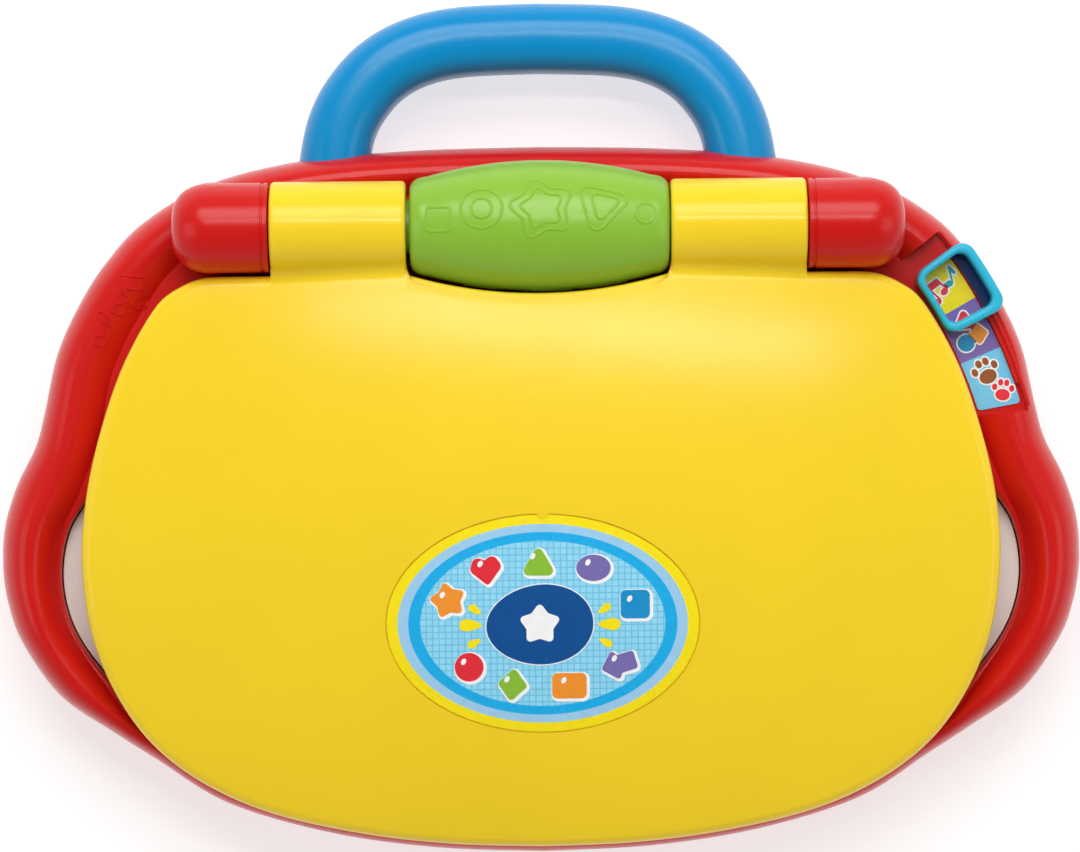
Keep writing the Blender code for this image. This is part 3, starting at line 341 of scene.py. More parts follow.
def make_materials():
    mouldings = {
        "yellow": (YELLOW, 0.2),
        "red": (RED,),
        "blue": (BLUE, 0.25, 0.02, 0.35),
        "slider_blue": (SLIDER_BLUE,),
        "green": (GREEN, 0.3, 0.02, 0.5),
        "orange": (ORANGE,),
        "purple": (PURPLE,),
        "pink_red": (PINK_RED,),
        # Dark navy for the mode ring's leg and the thin sheet in its window: painted shade for the shadow inside the
        # ring.
        "painted_shade_navy": ((14, 44, 92),),
        "white": (WHITE, 0.42, 0.1),
        "grey": (GREY, 0.5, 0.2),
    }
    made = {name: plastic(name + "_moulding", *look) for name, look in mouldings.items()}
    inks = {
        "lemon": LEMON,
        "periwinkle": PERIWINKLE,
        "cyan": CYAN,
        "paper": PAPER,
        "navy": NAVY,
        "ink_red": PINK_RED,
        "ink_green": (140, 192, 56),
        "ink_purple": (122, 110, 176),
        "ink_blue": (20, 146, 206),
        "ink_orange": (246, 150, 44),
        "ink_brown": (150, 86, 48),
        "ink_teal": (18, 168, 160),
        "ink_violet": (126, 102, 176),
        "ink_sky": (118, 202, 242),
        "ink_dark": (44, 58, 84),
        "ink_grass": (122, 190, 82),
        "ink_sun": (252, 214, 60),
        "ink_yellow": (255, 226, 16),
    }
    made.update({name: printed(name, colour) for name, colour in inks.items()})
    made["lattice"] = woven_print("lattice", FIELD, (112, 196, 230), 1.75)
    made["steel"] = metal("bright_steel", (196, 198, 202), 0.28)
    made["stamped"] = metal("stamped_steel", (120, 122, 126), 0.45)
    made["brass"] = metal("contact_brass", (214, 172, 96), 0.3)
    made["foil"] = metal("cell_foil", (86, 88, 94), 0.35, 120.0)
    made["foot"] = rubber("foot_rubber", (58, 58, 60))
    made["silicone"] = rubber("key_silicone", (74, 76, 80), 0.6)
    made["sheath"] = rubber("cable_sheath", (46, 46, 50), 0.55)
    made["window"] = clear_plastic("screen_plastic")
    made["circuit"] = circuit("circuit_board")
    return made


# ---------------------------------------------------------------- outlines, as lists of (x, y)


def mirrored(points):
    return points + [(-x, y) for x, y in reversed(points[1:-1])]


def curve_through(points, steps):
    """A smooth open line through the points, each a tuple of any length."""
    ends = [points[0], *points, points[-1]]
    line = []
    for i in range(1, len(ends) - 2):
        a, b, c, d = [Vector(p) for p in ends[i - 1 : i + 3]]
        for k in range(steps):
            t = k / steps
            bow = (2 * a - 5 * b + 4 * c - d) * t * t
            line.append(tuple(0.5 * (2 * b + (c - a) * t + bow + (3 * b - a - 3 * c + d) * t**3)))
    return line + [tuple(points[-1])]


def inset(outline, distance):
    area = sum(a[0] * b[1] - b[0] * a[1] for a, b in zip(outline, outline[1:] + outline[:1]))
    side = distance if area > 0 else -distance
    moved = []
    for i, point in enumerate(outline):
        here = Vector(point)
        into = (here - Vector(outline[i - 1])).normalized()
        out = (Vector(outline[(i + 1) % len(outline)]) - here).normalized()
        normal = Vector((-(into + out).y, (into + out).x)).normalized()
        reach = side / max(0.5, normal.dot(Vector((-into.y, into.x))))
        moved.append(tuple(here + normal * reach))
    return moved


def placed(outline, centre, turn=0.0, size=1.0):
    c, s = math.cos(math.radians(turn)) * size, math.sin(math.radians(turn)) * size
    return [(centre[0] + x * c - y * s, centre[1] + x * s + y * c) for x, y in outline]


def ellipse(half_x, half_y, count=48):
    turns = [2 * math.pi * i / count for i in range(count)]
    return [(half_x * math.cos(a), half_y * math.sin(a)) for a in turns]


def rounded(corners, radius, steps=6):
    points = []
    for i, corner in enumerate(corners):
        here = Vector(corner[:2])
        size = corner[2] if len(corner) > 2 else radius
        into = (Vector(corners[i - 1][:2]) - here).normalized()
        out = (Vector(corners[(i + 1) % len(corners)][:2]) - here).normalized()
        half = into.angle(out) / 2
        start = here + into * size / math.tan(half)
        end = here + out * size / math.tan(half)
        middle = here + (into + out).normalized() * size / math.sin(half)
        first = math.atan2(*(start - middle).yx)
        sweep = math.atan2(*(end - middle).yx) - first
        sweep = (sweep + math.pi) % (2 * math.pi) - math.pi
        for k in range(steps + 1):
            angle = first + sweep * k / steps
            points.append((middle.x + size * math.cos(angle), middle.y + size * math.sin(angle)))
    return points


def rectangle(half_x, half_y, radius, steps=6):
    corners = [(half_x, half_y), (-half_x, half_y), (-half_x, -half_y), (half_x, -half_y)]
    return rounded(corners, radius, steps)


def track_point(radius, angle):
    turn = math.radians(angle)
    return TRACK_CENTRE[0] + radius * math.cos(turn), TRACK_CENTRE[1] + radius * math.sin(turn)


def sector(radii, angles, corner=0.0, steps=16, centre=TRACK_CENTRE):
    """A stretch of a ring round a centre, its corners rounded if corner is given."""
    low, high = radii
    if corner:
        flat = rectangle((high - low) / 2, math.radians(angles[1] - angles[0]) / 2 * high, corner, 8)
        middle = sum(radii) / 2
        bent = [(middle + x, y / high) for x, y in densify(flat, 1.2)]
        return placed([(r * math.cos(a), r * math.sin(a)) for r, a in bent], centre, sum(angles) / 2)
    turns = [math.radians(angles[0] + (angles[1] - angles[0]) * k / steps) for k in range(steps + 1)]
    walk = [(high, a) for a in turns] + [(low, a) for a in reversed(turns)]
    return placed([(r * math.cos(a), r * math.sin(a)) for r, a in walk], centre)


def bend(start, corner, end):
    """Points of a curve from start to end that rounds off the corner."""
    line = []
    for k in range(6):
        first = Vector(start).lerp(Vector(corner), k / 5)
        line.append(tuple(first.lerp(Vector(corner).lerp(Vector(end), k / 5), k / 5)))
    return line


def track_stretch(radii, low=15.85, slant=0.075, high=CHANNEL_TOP_ANGLE, soft=False):
    """A stretch of the mode track: its lower end slants by degrees a millimetre, and corners may be soft."""
    arcs = []
    for radius in radii:
        start = low - slant * (radius - LABEL_RADII[0])
        arcs.append([track_point(radius, start + (high - start) * k / 40) for k in range(41)])
    inner, outer = arcs
    if not soft:
        return outer + inner[::-1]
    near, far = [tuple(Vector(inner[0]).lerp(Vector(outer[0]), share)) for share in (0.1, 0.9)]
    top = tuple(Vector(inner[-1]).lerp(Vector(outer[-1]), 0.3))
    upper = outer[2:] + bend(top, inner[-1], inner[-4]) + inner[-5:1:-1]
    return upper + bend(inner[1], inner[0], near) + bend(far, outer[0], outer[1])


def densify(outline, longest):
    """The outline with points added, so that no side is longer than longest."""
    points = []
    for start, end in zip(outline, outline[1:] + outline[:1]):
        count = max(1, math.ceil(math.dist(start, end) / longest))
        points += [tuple(Vector(start).lerp(Vector(end), k / count)) for k in range(count)]
    return points


def star(size, radius=None):
    corners = []
    for k in range(10):
        reach = size * (1 if k % 2 == 0 else 0.62)
        angle = math.radians(90 + 36 * k)
        corners.append((reach * math.cos(angle), reach * math.sin(angle)))
    return rounded(corners, radius or size * 0.17)


def heart(size=12.5):
    k = size / 12.5
    right = [(12.0 * k, 0.5 * k, 4.5 * k), (7.0 * k, 11.0 * k, 4.8 * k)]
    left = [(-x, y, radius) for x, y, radius in reversed(right)]
    return rounded([(0, -12 * k), *right, (0, 6.5 * k), *left], 2.2 * k)


def arrow(size):
    upper = [(0.1, 0.95), (0.1, 0.48), (-0.85, 0.48)]
    lower = [(x, -y) for x, y in reversed(upper)]
    return rounded([(size * x, size * y) for x, y in [(1.0, 0.0), *upper, *lower]], size * 0.155)


def triangle(size):
    k = size / 12.5
    return rounded([(0, 12.5 * k), (-12.5 * k, -9.5 * k), (12.5 * k, -9.5 * k)], 3.5 * k)


def diamond(size):
    k = size / 13.5
    return rounded([(0, 13.5 * k), (-12 * k, 0), (0, -13.5 * k), (12 * k, 0)], 3.0 * k)


def note_head(x, y):
    """The part of a note's head that its stem leaves free, anticlockwise."""
    turns = [math.radians(50 + 290 * k / 20) for k in range(21)]
    return [(x + 2.0 * math.cos(a), y + 1.6 * math.sin(a)) for a in turns]


def note_pair(size):
    """Two notes under one beam, as one outline."""
    outline = [*note_head(-3.2, -3.7), (-1.0, -3.3), (-1.0, 2.0), (3.7, 1.0)]
    outline += [*note_head(2.6, -2.7), (4.8, -2.2), (4.8, 4.4), (-2.0, 5.8)]
    return placed(outline, (0, 0), 0, size / 10)


def single_note(size):
    flag = [(1.6, -2.9), (1.6, 1.9), (3.5, 0.3), (3.9, 1.8), (1.8, 5.4), (0.5, 5.4)]
    return placed([*note_head(-0.6, -3.3), *flag], (0, 0), 0, size / 10)


def paw(size):
    """A paw print: one palm pad and four toe pads."""
    k = size / 10
    pads = [placed(ellipse(2.9 * k, 2.3 * k, 24), (0, -1.8 * k))]
    for x, y in ((-3.4, 1.0), (-1.2, 3.0), (1.2, 3.0), (3.4, 1.0)):
        pads.append(placed(ellipse(1.05 * k, 1.35 * k, 16), (x * k, y * k)))
    return pads


def lid_outline():
    """The lid's edge: the arc round the roller, the straight hinge edge, then the side and the front."""
    rise = LID_BACK - LID_NOTCH
    radius = (KNUCKLE_INNER**2 + rise**2) / (2 * rise)
    across = [KNUCKLE_INNER * k / 14 for k in range(15)]
    notch = [(x, LID_NOTCH + radius - math.sqrt(radius**2 - x * x)) for x in across]
    back = [(KNUCKLE_INNER + (84.0 - KNUCKLE_INNER) * k / 12, LID_BACK) for k in range(1, 12)]
    return mirrored([*notch, *back, *curve_through(LID_SIDE, 7)])


def lid_height(x, y):
    along = (y + 20) / (61 if y > -20 else 93)
    return CROWN - (5 if y > -20 else 13.5) * along**2 - 10.5 * (x / 123) ** 2


def body_ribs():
    rows = [(*outer, *inner, *rest) for outer, inner, *rest in RIBS]
    half = curve_through(rows, RIB_STEPS)
    half = [(min(r[0], HALF_WIDTH), *r[1:]) for r in half]
    left = [(-r[0], r[1], -r[2], *r[3:]) for r in reversed(half[1:-1])]
    return half + left


def body_outline():
    return [(r[0], r[1]) for r in body_ribs()]


# ---------------------------------------------------------------- mesh makers


def finish_mesh(name, builder, material, angle=32):
    """A bmesh in millimetres as a smooth-shaded object in metres."""
    bmesh.ops.recalc_face_normals(builder, faces=builder.faces)
    bmesh.ops.scale(builder, vec=(MM, MM, MM), verts=builder.verts)
    mesh = bpy.data.meshes.new(name)
    builder.to_mesh(mesh)
    builder.free()
    mesh.shade_smooth()
    mesh.set_sharp_from_angle(angle=math.radians(angle))
    obj = bpy.data.objects.new(name, mesh)
    bpy.context.scene.collection.objects.link(obj)
    if material:
        mesh.materials.append(material)
    return obj


def lofted(name, rings, material=None, wrap=False, angle=32):
    """A closed skin over rings of points, with a cap at each end unless it wraps round."""
    builder = bmesh.new()
    loops = [[builder.verts.new(point) for point in ring] for ring in rings]
    pairs = list(zip(loops, loops[1:])) + ([(loops[-1], loops[0])] if wrap else [])
    for low, high in pairs:
        for i in range(len(low)):
            j = (i + 1) % len(low)
            builder.faces.new((low[i], low[j], high[j], high[i]))
    if not wrap:
        for loop in (loops[0], loops[-1]):
            builder.faces.new(loop)
    return finish_mesh(name, builder, material, angle)


def stacked(name, outline, levels, material=None, angle=32):
    """A form from one outline, inset by a step at each height: levels are (step, height)."""
    rings = [[(x, y, z) for x, y in inset(outline, step)] for step, z in levels]
    return lofted(name, rings, material, angle=angle)


def crowned(name, outline, low, top, edge, crown, material):
    """A moulded cap: straight sides, an edge rounded by edge, and a top that rises by crown at its middle."""
    levels = [(0.0, low), (0.0, top - edge)]
    for k in range(1, 6):
        a = math.pi / 2 * k / 5
        levels.append((edge * (1 - math.cos(a)), top - edge + edge * math.sin(a)))
    rings = [[(x, y, z) for x, y in inset(outline, step)] for step, z in levels]
    last = rings[-1]
    middle = Vector((sum(p[0] for p in last) / len(last), sum(p[1] for p in last) / len(last)))
    for share in (0.8, 0.6, 0.4, 0.2, 0.06):
        rise = crown * (1 - share**2)
        rings.append([(*(middle + (Vector(p[:2]) - middle) * share), top + rise) for p in last])
    return lofted(name, rings, material)


def plate(name, outlines, low, high, material):
    """A flat plate with holes: the first outline is its edge."""
    curve = bpy.data.curves.new(name, "CURVE")
    curve.dimensions = "2D"
    curve.fill_mode = "BOTH"
    curve.extrude = (high - low) / 2 * MM
    for outline in outlines:
        spline = curve.splines.new("POLY")
        spline.points.add(len(outline) - 1)
        for point, (x, y) in zip(spline.points, outline):
            point.co = (x * MM, y * MM, 0, 1)
        spline.use_cyclic_u = True
    drawn = bpy.data.objects.new(name + "_outline", curve)
    bpy.context.scene.collection.objects.link(drawn)
    bpy.context.view_layer.update()
    graph = bpy.context.evaluated_depsgraph_get()
    mesh = bpy.data.meshes.new_from_object(drawn.evaluated_get(graph))
    bpy.data.objects.remove(drawn)
    builder = bmesh.new()
    builder.from_mesh(mesh)
    bmesh.ops.remove_doubles(builder, verts=builder.verts, dist=0.000001)
    bmesh.ops.translate(builder, verts=builder.verts, vec=(0, 0, (low + high) / 2 * MM))
    bmesh.ops.scale(builder, vec=(1 / MM,) * 3, verts=builder.verts)
    return finish_mesh(name, builder, material)


def turned(name, profile, sides, material=None, centre=(0, 0, 0), axis="Z", closed=False):
    """A turned form from (radius, height) points; axis X lays the height along X."""
    rings = []
    for radius, height in profile:
        ring = []
        for k in range(sides):
            a = 2 * math.pi * k / sides
            u, v = radius * math.cos(a), radius * math.sin(a)
            point = (u, v, height) if axis == "Z" else (height, u, v)
            ring.append(tuple(c + o for c, o in zip(point, centre)))
        rings.append(ring)
    return lofted(name, rings, material, wrap=closed)


def tube(name, points, radius, material, sides=10):
    """A round bar along the points, closed into a loop if it ends where it starts."""
    loop = math.dist(points[0], points[-1]) < 1e-6
    line = points[:-1] if loop else points
    rings = []
    for i, point in enumerate(line):
        before = line[i - 1] if loop or i else point
        after = line[(i + 1) % len(line)] if loop or i < len(line) - 1 else point
        along = (Vector(after) - Vector(before)).normalized()
        side = along.cross(Vector((0.137, 0.241, 0.961))).normalized()
        up = side.cross(along)
        rings.append([
            tuple(Vector(point) + (side * math.cos(a) + up * math.sin(a)) * radius)
            for a in [2 * math.pi * k / sides for k in range(sides)]
        ])
    return lofted(name, rings, material, wrap=loop)


def boolean(obj, cutters, operation="DIFFERENCE"):
    """Cuts the helpers from obj, or joins them to it, for good."""
    for cutter in cutters:
        modifier = obj.modifiers.new(operation.lower(), "BOOLEAN")
        modifier.operation = operation
        modifier.object = cutter
    bpy.context.view_layer.update()
    graph = bpy.context.evaluated_depsgraph_get()
    mesh = bpy.data.meshes.new_from_object(obj.evaluated_get(graph))
    obj.modifiers.clear()
    obj.data = mesh
    for cutter in cutters:
        bpy.data.objects.remove(cutter)
    mesh.shade_smooth()
    mesh.set_sharp_from_angle(angle=math.radians(32))
    return obj


def joined(name, objects):
    """Several made objects as one, each keeping its own materials."""
    builder = bmesh.new()
    materials = []
    for obj in objects:
        start = len(builder.faces)
        builder.from_mesh(obj.data)
        builder.faces.ensure_lookup_table()
        for material in obj.data.materials:
            if material not in materials:
                materials.append(material)
        own = list(obj.data.materials)
        for face in builder.faces[start:]:
            face.material_index = materials.index(own[face.material_index])
        bpy.data.objects.remove(obj)
    mesh = bpy.data.meshes.new(name)
    builder.to_mesh(mesh)
    builder.free()
    for material in materials:
        mesh.materials.append(material)
    obj = bpy.data.objects.new(name, mesh)
    bpy.context.scene.collection.objects.link(obj)
    return obj


def stands_for(obj, body, *nodes):
    """Puts a piece on its body, in place of CAD nodes, which it hides."""
    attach(obj, body)
    if nodes:
        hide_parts(*nodes)
    return obj


def on_lid(offset):
    """Height function that lays print on the lid's dome."""
    return lambda x, y: lid_height(x, y) + offset


def level(z):
    return lambda x, y: z


def print_patch(name, outline, height, thick, material, centre=None, rings=1):
    """A thin printed shape laid on a surface: height(x, y) is its top."""
    if centre is None:
        centre = (sum(p[0] for p in outline) / len(outline), sum(p[1] for p in outline) / len(outline))
    middle = Vector(centre)
    shares = [1 - k / (rings + 1) for k in range(rings + 1)] if rings > 1 else [1.0]
    loops = [[(x, y, height(x, y) - thick) for x, y in outline]]
    for share in shares:
        ring = [middle + (Vector(p) - middle) * share for p in outline]
        loops.append([(p.x, p.y, height(p.x, p.y)) for p in ring])
    return lofted(name, loops, material, angle=50)


def print_band(name, outer, inner, height, thick, material):
    """A printed ring between two outlines with the same number of points."""
    loops = [
        [(x, y, height(x, y) - thick) for x, y in outer],
        [(x, y, height(x, y)) for x, y in outer],
        [(x, y, height(x, y)) for x, y in inner],
        [(x, y, height(x, y) - thick) for x, y in inner],
    ]
    return lofted(name, loops, material, wrap=True, angle=50)


# ---------------------------------------------------------------- lid


def lid_shell(paint):
    """The yellow dome, with a smaller fillet round the roller and a seat for the badge."""
    outline = lid_outline()
    fillet = 2.6
    shares = [0.35 + 0.65 * min(1.0, max(0.0, (abs(x) - 33) / 5)) if y > 30 else 1.0 for x, y in outline]
    levels = [(WALL, 40.0), (WALL, LID_EDGE + 0.3), (WALL - 0.3, LID_EDGE), (0.5, LID_EDGE)]
    levels.append((0.15, LID_EDGE + 0.15))
    rings = [[(x, y, z) for x, y in inset(outline, step)] for step, z in levels]
    rings.append([(x, y, LID_EDGE + 0.5) for x, y in outline])
    for k in range(9):
        a = math.pi / 2 * k / 8
        inner = inset(outline, fillet * (1 - math.cos(a)))
        edge = [tuple(Vector(p).lerp(Vector(q), share)) for p, q, share in zip(outline, inner, shares)]
        drop = fillet * (1 - math.sin(a))
        rings.append([(x, y, lid_height(x, y) - drop * share) for (x, y), share in zip(edge, shares)])
    centre = Vector((0, -36))
    for k in range(1, 24):
        share = 1 - k / 24
        ring = [centre + (Vector(p) - centre) * share for p in edge]
        rings.append([(p.x, p.y, lid_height(p.x, p.y)) for p in ring])
    shell = lofted("lid_shell", rings, paint["yellow"])

    seat = ellipse(BADGE_HALF[0] + 0.35, BADGE_HALF[1] + 0.35, 96)
    seat = placed(seat, BADGE_CENTRE)
    boolean(shell, [print_patch("badge_seat", seat, on_lid(5), 5.6, None, BADGE_CENTRE, 12)])
    tab = placed(ellipse(1.5, 1.2, 24), (BADGE_CENTRE[0] + 0.2, BADGE_CENTRE[1] + BADGE_HALF[1]))
    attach(print_patch("badge_tab", tab, on_lid(0.02), 0.6, paint["yellow"]), "lid")
    return stands_for(shell, "lid", "lid_outer_shell")


def knuckle_profile(x, shrink=0.0):
    """Cross-section (y, z) of a knuckle and its neck, which rises from the dome with a fillet."""
    fillet = 4.0
    radius = KNUCKLE_RADIUS - shrink
    low, high = 34.0, 46.0
    for _ in range(30):
        y = (low + high) / 2
        normal = Vector((10 * (y + 20) / 61**2, 1)).normalized()
        middle = Vector((y, lid_height(x, y))) + normal * fillet
        if math.dist(middle, (HINGE_Y, HINGE_Z)) > radius + fillet:
            low = y
        else:
            high = y
    start = math.atan2(-normal.y, -normal.x)
    toward = math.atan2(HINGE_Z - middle.y, HINGE_Y - middle.x)
    points = [(36.0, lid_height(x, 36.0) - 0.4)]
    points += [(y, lid_height(x, y) + 0.012) for y in (36.05, 37.2, 38.4)]
    for k in range(11):
        a = start + (toward - start) * k / 10
        points.append((middle.x + fillet * math.cos(a), middle.y + fillet * math.sin(a)))
    last = math.radians(-165)
    for k in range(1, 57):
        a = toward + math.pi + (last - toward - math.pi) * k / 56
        points.append((HINGE_Y + radius * math.cos(a), HINGE_Z + radius * math.sin(a)))
    return points + [(41.4, 43.0), (40.6, 40.5), (36.0, 40.0)]


def neck_web(reach):
    """The knuckle's inner end cut back to y = reach, for the rounded corner beside the roller."""
    profile = knuckle_profile(KNUCKLE_INNER, 1.3)
    top = max(z for y, z in profile[:15] if y <= reach)
    return [(min(y, reach), min(z, top)) for y, z in profile]


def knuckles(paint):
    """Two lid knuckles round the hinge, with soft ends and a rounded corner beside the roller."""
    edge = 1.3
    length = KNUCKLE_OUTER - KNUCKLE_INNER - 2 * edge
    middle = [(KNUCKLE_INNER + edge + length * k / 9, 0.0) for k in range(10)]
    turns = [math.pi / 2 * k / 5 for k in range(5)]
    start = [(KNUCKLE_INNER + edge * (1 - math.cos(a)), edge * (1 - math.sin(a))) for a in turns]
    end = [(KNUCKLE_OUTER - edge * (1 - math.cos(a)), edge * (1 - math.sin(a))) for a in reversed(turns)]
    for side, name in ((1, "right"), (-1, "left")):
        rings = []
        for k in range(9):
            a = math.radians(-90 + 90 * k / 8)
            x, reach = KNUCKLE_INNER - 5.7 + 5.7 * math.cos(a), 38.6 + 6.3 * (1 + math.sin(a))
            rings.append([(side * x, y, z) for y, z in neck_web(reach)])
        for x, shrink in start + middle + end:
            rings.append([(side * x, y, z) for y, z in knuckle_profile(x, shrink)])
        knuckle = lofted(f"lid_knuckle_{name}", rings, paint["yellow"])
        ends = [(KNUCKLE_BORE, side * x) for x in (30, 80)]
        bore = turned("bore", ends, 64, None, (0, HINGE_Y, HINGE_Z), "X")
        boolean(knuckle, [bore])
        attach(knuckle, "lid")


def badge(paint):
    """Ringed badge with its lattice field, icons and a plain star emblem."""
    halves = [BADGE_HALF, (39.6, 27.2), (36.7, 25.0), (33.4, 22.6)]
    ovals = [placed(ellipse(*half, 96), BADGE_CENTRE) for half in halves]
    parts = []
    for outer, inner, ink in zip(ovals, ovals[1:], ("lemon", "periwinkle", "cyan")):
        parts.append(print_band("ring", outer, inner, on_lid(-0.12), 0.4, paint[ink]))
    parts.append(print_patch("field", ovals[3], on_lid(-0.12), 0.4, paint["lattice"], BADGE_CENTRE, 14))
    icons = [
        (placed(heart(4.7), (0, 0), 8), (-15.4, 14.9), "ink_red"),
        (triangle(5.0), (-1.1, 16.9), "ink_green"),
        (ellipse(4.7, 3.6, 32), (13.9, 15.1), "ink_purple"),
        (rectangle(4.0, 3.9, 1.5), (25.2, 5.1), "ink_blue"),
        (placed(arrow(5.3), (0, 0), 197), (20.9, -11.2), "ink_purple"),
        (rectangle(4.7, 3.5, 1.4), (7.1, -17.1), "ink_orange"),
        (placed(diamond(4.7), (0, 0), -7), (-8.4, -16.7), "ink_green"),
        (ellipse(3.95, 3.95, 32), (-20.2, -11.8), "ink_red"),
        (placed(star(5.4), (0, 0), 12), (-25.8, 6.5), "ink_orange"),
    ]
    for outline, offset, ink in icons:
        at = (BADGE_CENTRE[0] + offset[0], BADGE_CENTRE[1] + offset[1])
        shape = placed(outline, at)
        halo = placed(inset(shape, -0.55), (0.35, -0.3))
        parts.append(print_patch("halo", halo, on_lid(-0.06), 0.1, paint["paper"], at))
        parts.append(print_patch("icon", shape, on_lid(-0.01), 0.1, paint[ink], at))
        glint = placed(ellipse(0.95, 0.65, 16), (at[0] - 1.5, at[1] + 1.5), 60)
        parts.append(print_patch("glint", glint, on_lid(0.02), 0.06, paint["paper"]))
    parts += emblem(paint)
    stands_for(joined("badge_print", parts), "lid", "lid_badge")


def emblem(paint):
    """Navy egg with a plain star, and rays at both sides."""
    middle = (BADGE_CENTRE[0] - 0.8, BADGE_CENTRE[1] - 0.3)
    egg = placed([(x, y * (1 + 0.06 * x / 14.6)) for x, y in ellipse(14.6, 10.9, 64)], middle, 4)
    parts = [
        print_patch("egg_edge", inset(egg, -0.3), on_lid(-0.06), 0.1, paint["paper"], middle, 6),
        print_patch("egg", egg, on_lid(-0.01), 0.1, paint["navy"], middle, 6),
        print_patch("egg_star", placed(star(6.2), middle), on_lid(0.03), 0.08, paint["paper"], middle),
    ]
    rays = [(18.9, 0.0, 3.1, 0), (17.6, 4.2, 2.0, 35), (17.9, -4.9, 2.0, -30)]
    for sign in (-1, 1):
        for x, y, reach, turn in rays:
            at = (middle[0] + sign * x, middle[1] + y)
            drop = [(u, v * (1 + 0.45 * u / reach * sign)) for u, v in ellipse(reach, reach * 0.5, 24)]
            drop = placed(drop, at, turn * sign)
            parts.append(print_patch("ray", drop, on_lid(-0.02), 0.08, paint["lemon"]))
    return parts


def lid_inside(paint):
    """The inner panel with its sunken screws and ribs, the bezel and the printed picture."""
    edge = densify(inset(lid_outline(), WALL + 0.4), 4)
    window = placed(rectangle(*SCREEN_HALF, 12, 10), (0, SCREEN_CENTRE_Y))
    places = [(s * x, y) for x, y in LID_SCREWS for s in (1, -1)]
    holes = [placed(ellipse(3.2, 3.2, 28), place) for place in places]
    panel = plate("lid_panel", [edge, window, *holes], PANEL_LOW, PANEL_HIGH, paint["white"])
    stands_for(panel, "lid", "lid_inner_panel")
    cup = [(3.2, PANEL_LOW + 0.1), (3.3, PANEL_LOW + 0.1), (3.3, PANEL_HIGH)]
    cup += [(1.7, PANEL_HIGH), (1.7, PANEL_LOW + 1.4), (3.2, PANEL_LOW + 1.3)]
    for i, place in enumerate(places):
        seat = turned(f"lid_screw_seat_{i}", cup, 28, paint["white"], (*place, 0), "Z", True)
        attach(seat, "lid")

    levels = [(-0.6, 0.3), (-0.6, 0.9), (-1.1, 1.1), (-5.2, 1.1), (-5.9, 0.8), (-6.0, 0.3)]
    rings = [[(x, y, PANEL_LOW - drop) for x, y in inset(window, step)] for step, drop in levels]
    stands_for(lofted("screen_frame", rings, paint["blue"], wrap=True), "lid", "screen_bezel")
    ribs = []
    for k in range(3):
        across = range(-40 + 4 * k, 41 - 4 * k, 4)
        line = [(x, -88 - 4.5 * k + 0.0008 * x * x, PANEL_LOW + 0.1) for x in across]
        ribs.append(tube("rib", line, 0.5, paint["white"], 8))
    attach(joined("panel_ribs", ribs), "lid")
    picture(paint, window)


def picture(paint, window):
    """The printed card behind the window: hills, sun, clouds and stars."""
    z = PANEL_HIGH + GAP
    card = plate("screen_card", [inset(window, -3)], z, z + 0.35, paint["ink_sky"])
    stands_for(card, "lid", "screen_picture")
    parts = []

    def below(name, outline, ink, lift, centre=None):
        parts.append(print_patch(name, outline, level(z - 0.02 - lift), -0.04, paint[ink], centre))

    low = SCREEN_CENTRE_Y + SCREEN_HALF[1] - 1
    hills = [(-70, low), (70, low), (70, low - 22)] + [
        (70 - 5 * k, low - 20 - 7 * math.sin(k * 0.36 + 0.4)) for k in range(1, 28)
    ] + [(-70, low - 18)]
    below("hills", hills, "ink_grass", 0.02, (0, low - 6))
    below("sun", placed(ellipse(9, 9, 40), (44, SCREEN_CENTRE_Y - 22)), "ink_sun", 0.02)
    for x, y, size in ((-40, -24, 1.0), (8, -27, 0.8)):
        for dx, dy, r in ((-6, 0, 4.2), (0, -2.0, 5.6), (6, 0, 4.2)):
            at = (x + dx * size, SCREEN_CENTRE_Y + y + dy * size)
            below("cloud", placed(ellipse(r * size, r * 0.8 * size, 28), at), "paper", 0.03)
    for k, ink in enumerate(("ink_red", "ink_orange", "ink_purple", "ink_blue")):
        at = (-45 + 30 * k, SCREEN_CENTRE_Y - 2 + 4 * (k % 2))
        below("balloon", placed(star(6.5), at, 180), ink, 0.04)
    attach(joined("screen_print", parts), "lid")


# ---------------------------------------------------------------- hinge


def barrel_radius(x):
    return ROLLER_RADIUS - (ROLLER_ARC - math.sqrt(ROLLER_ARC**2 - x * x))


def wrapped(x, along, lift, turn=0.0):
    """A point on the roller: x across, along round its girth, lift above its surface, turned round its axis."""
    radius = barrel_radius(x) - SHAPE_RISE
    a = turn + along / radius
    reach = radius + lift
    return (x + ROLLER_SHIFT, HINGE_Y + reach * math.sin(a), HINGE_Z + reach * math.cos(a))


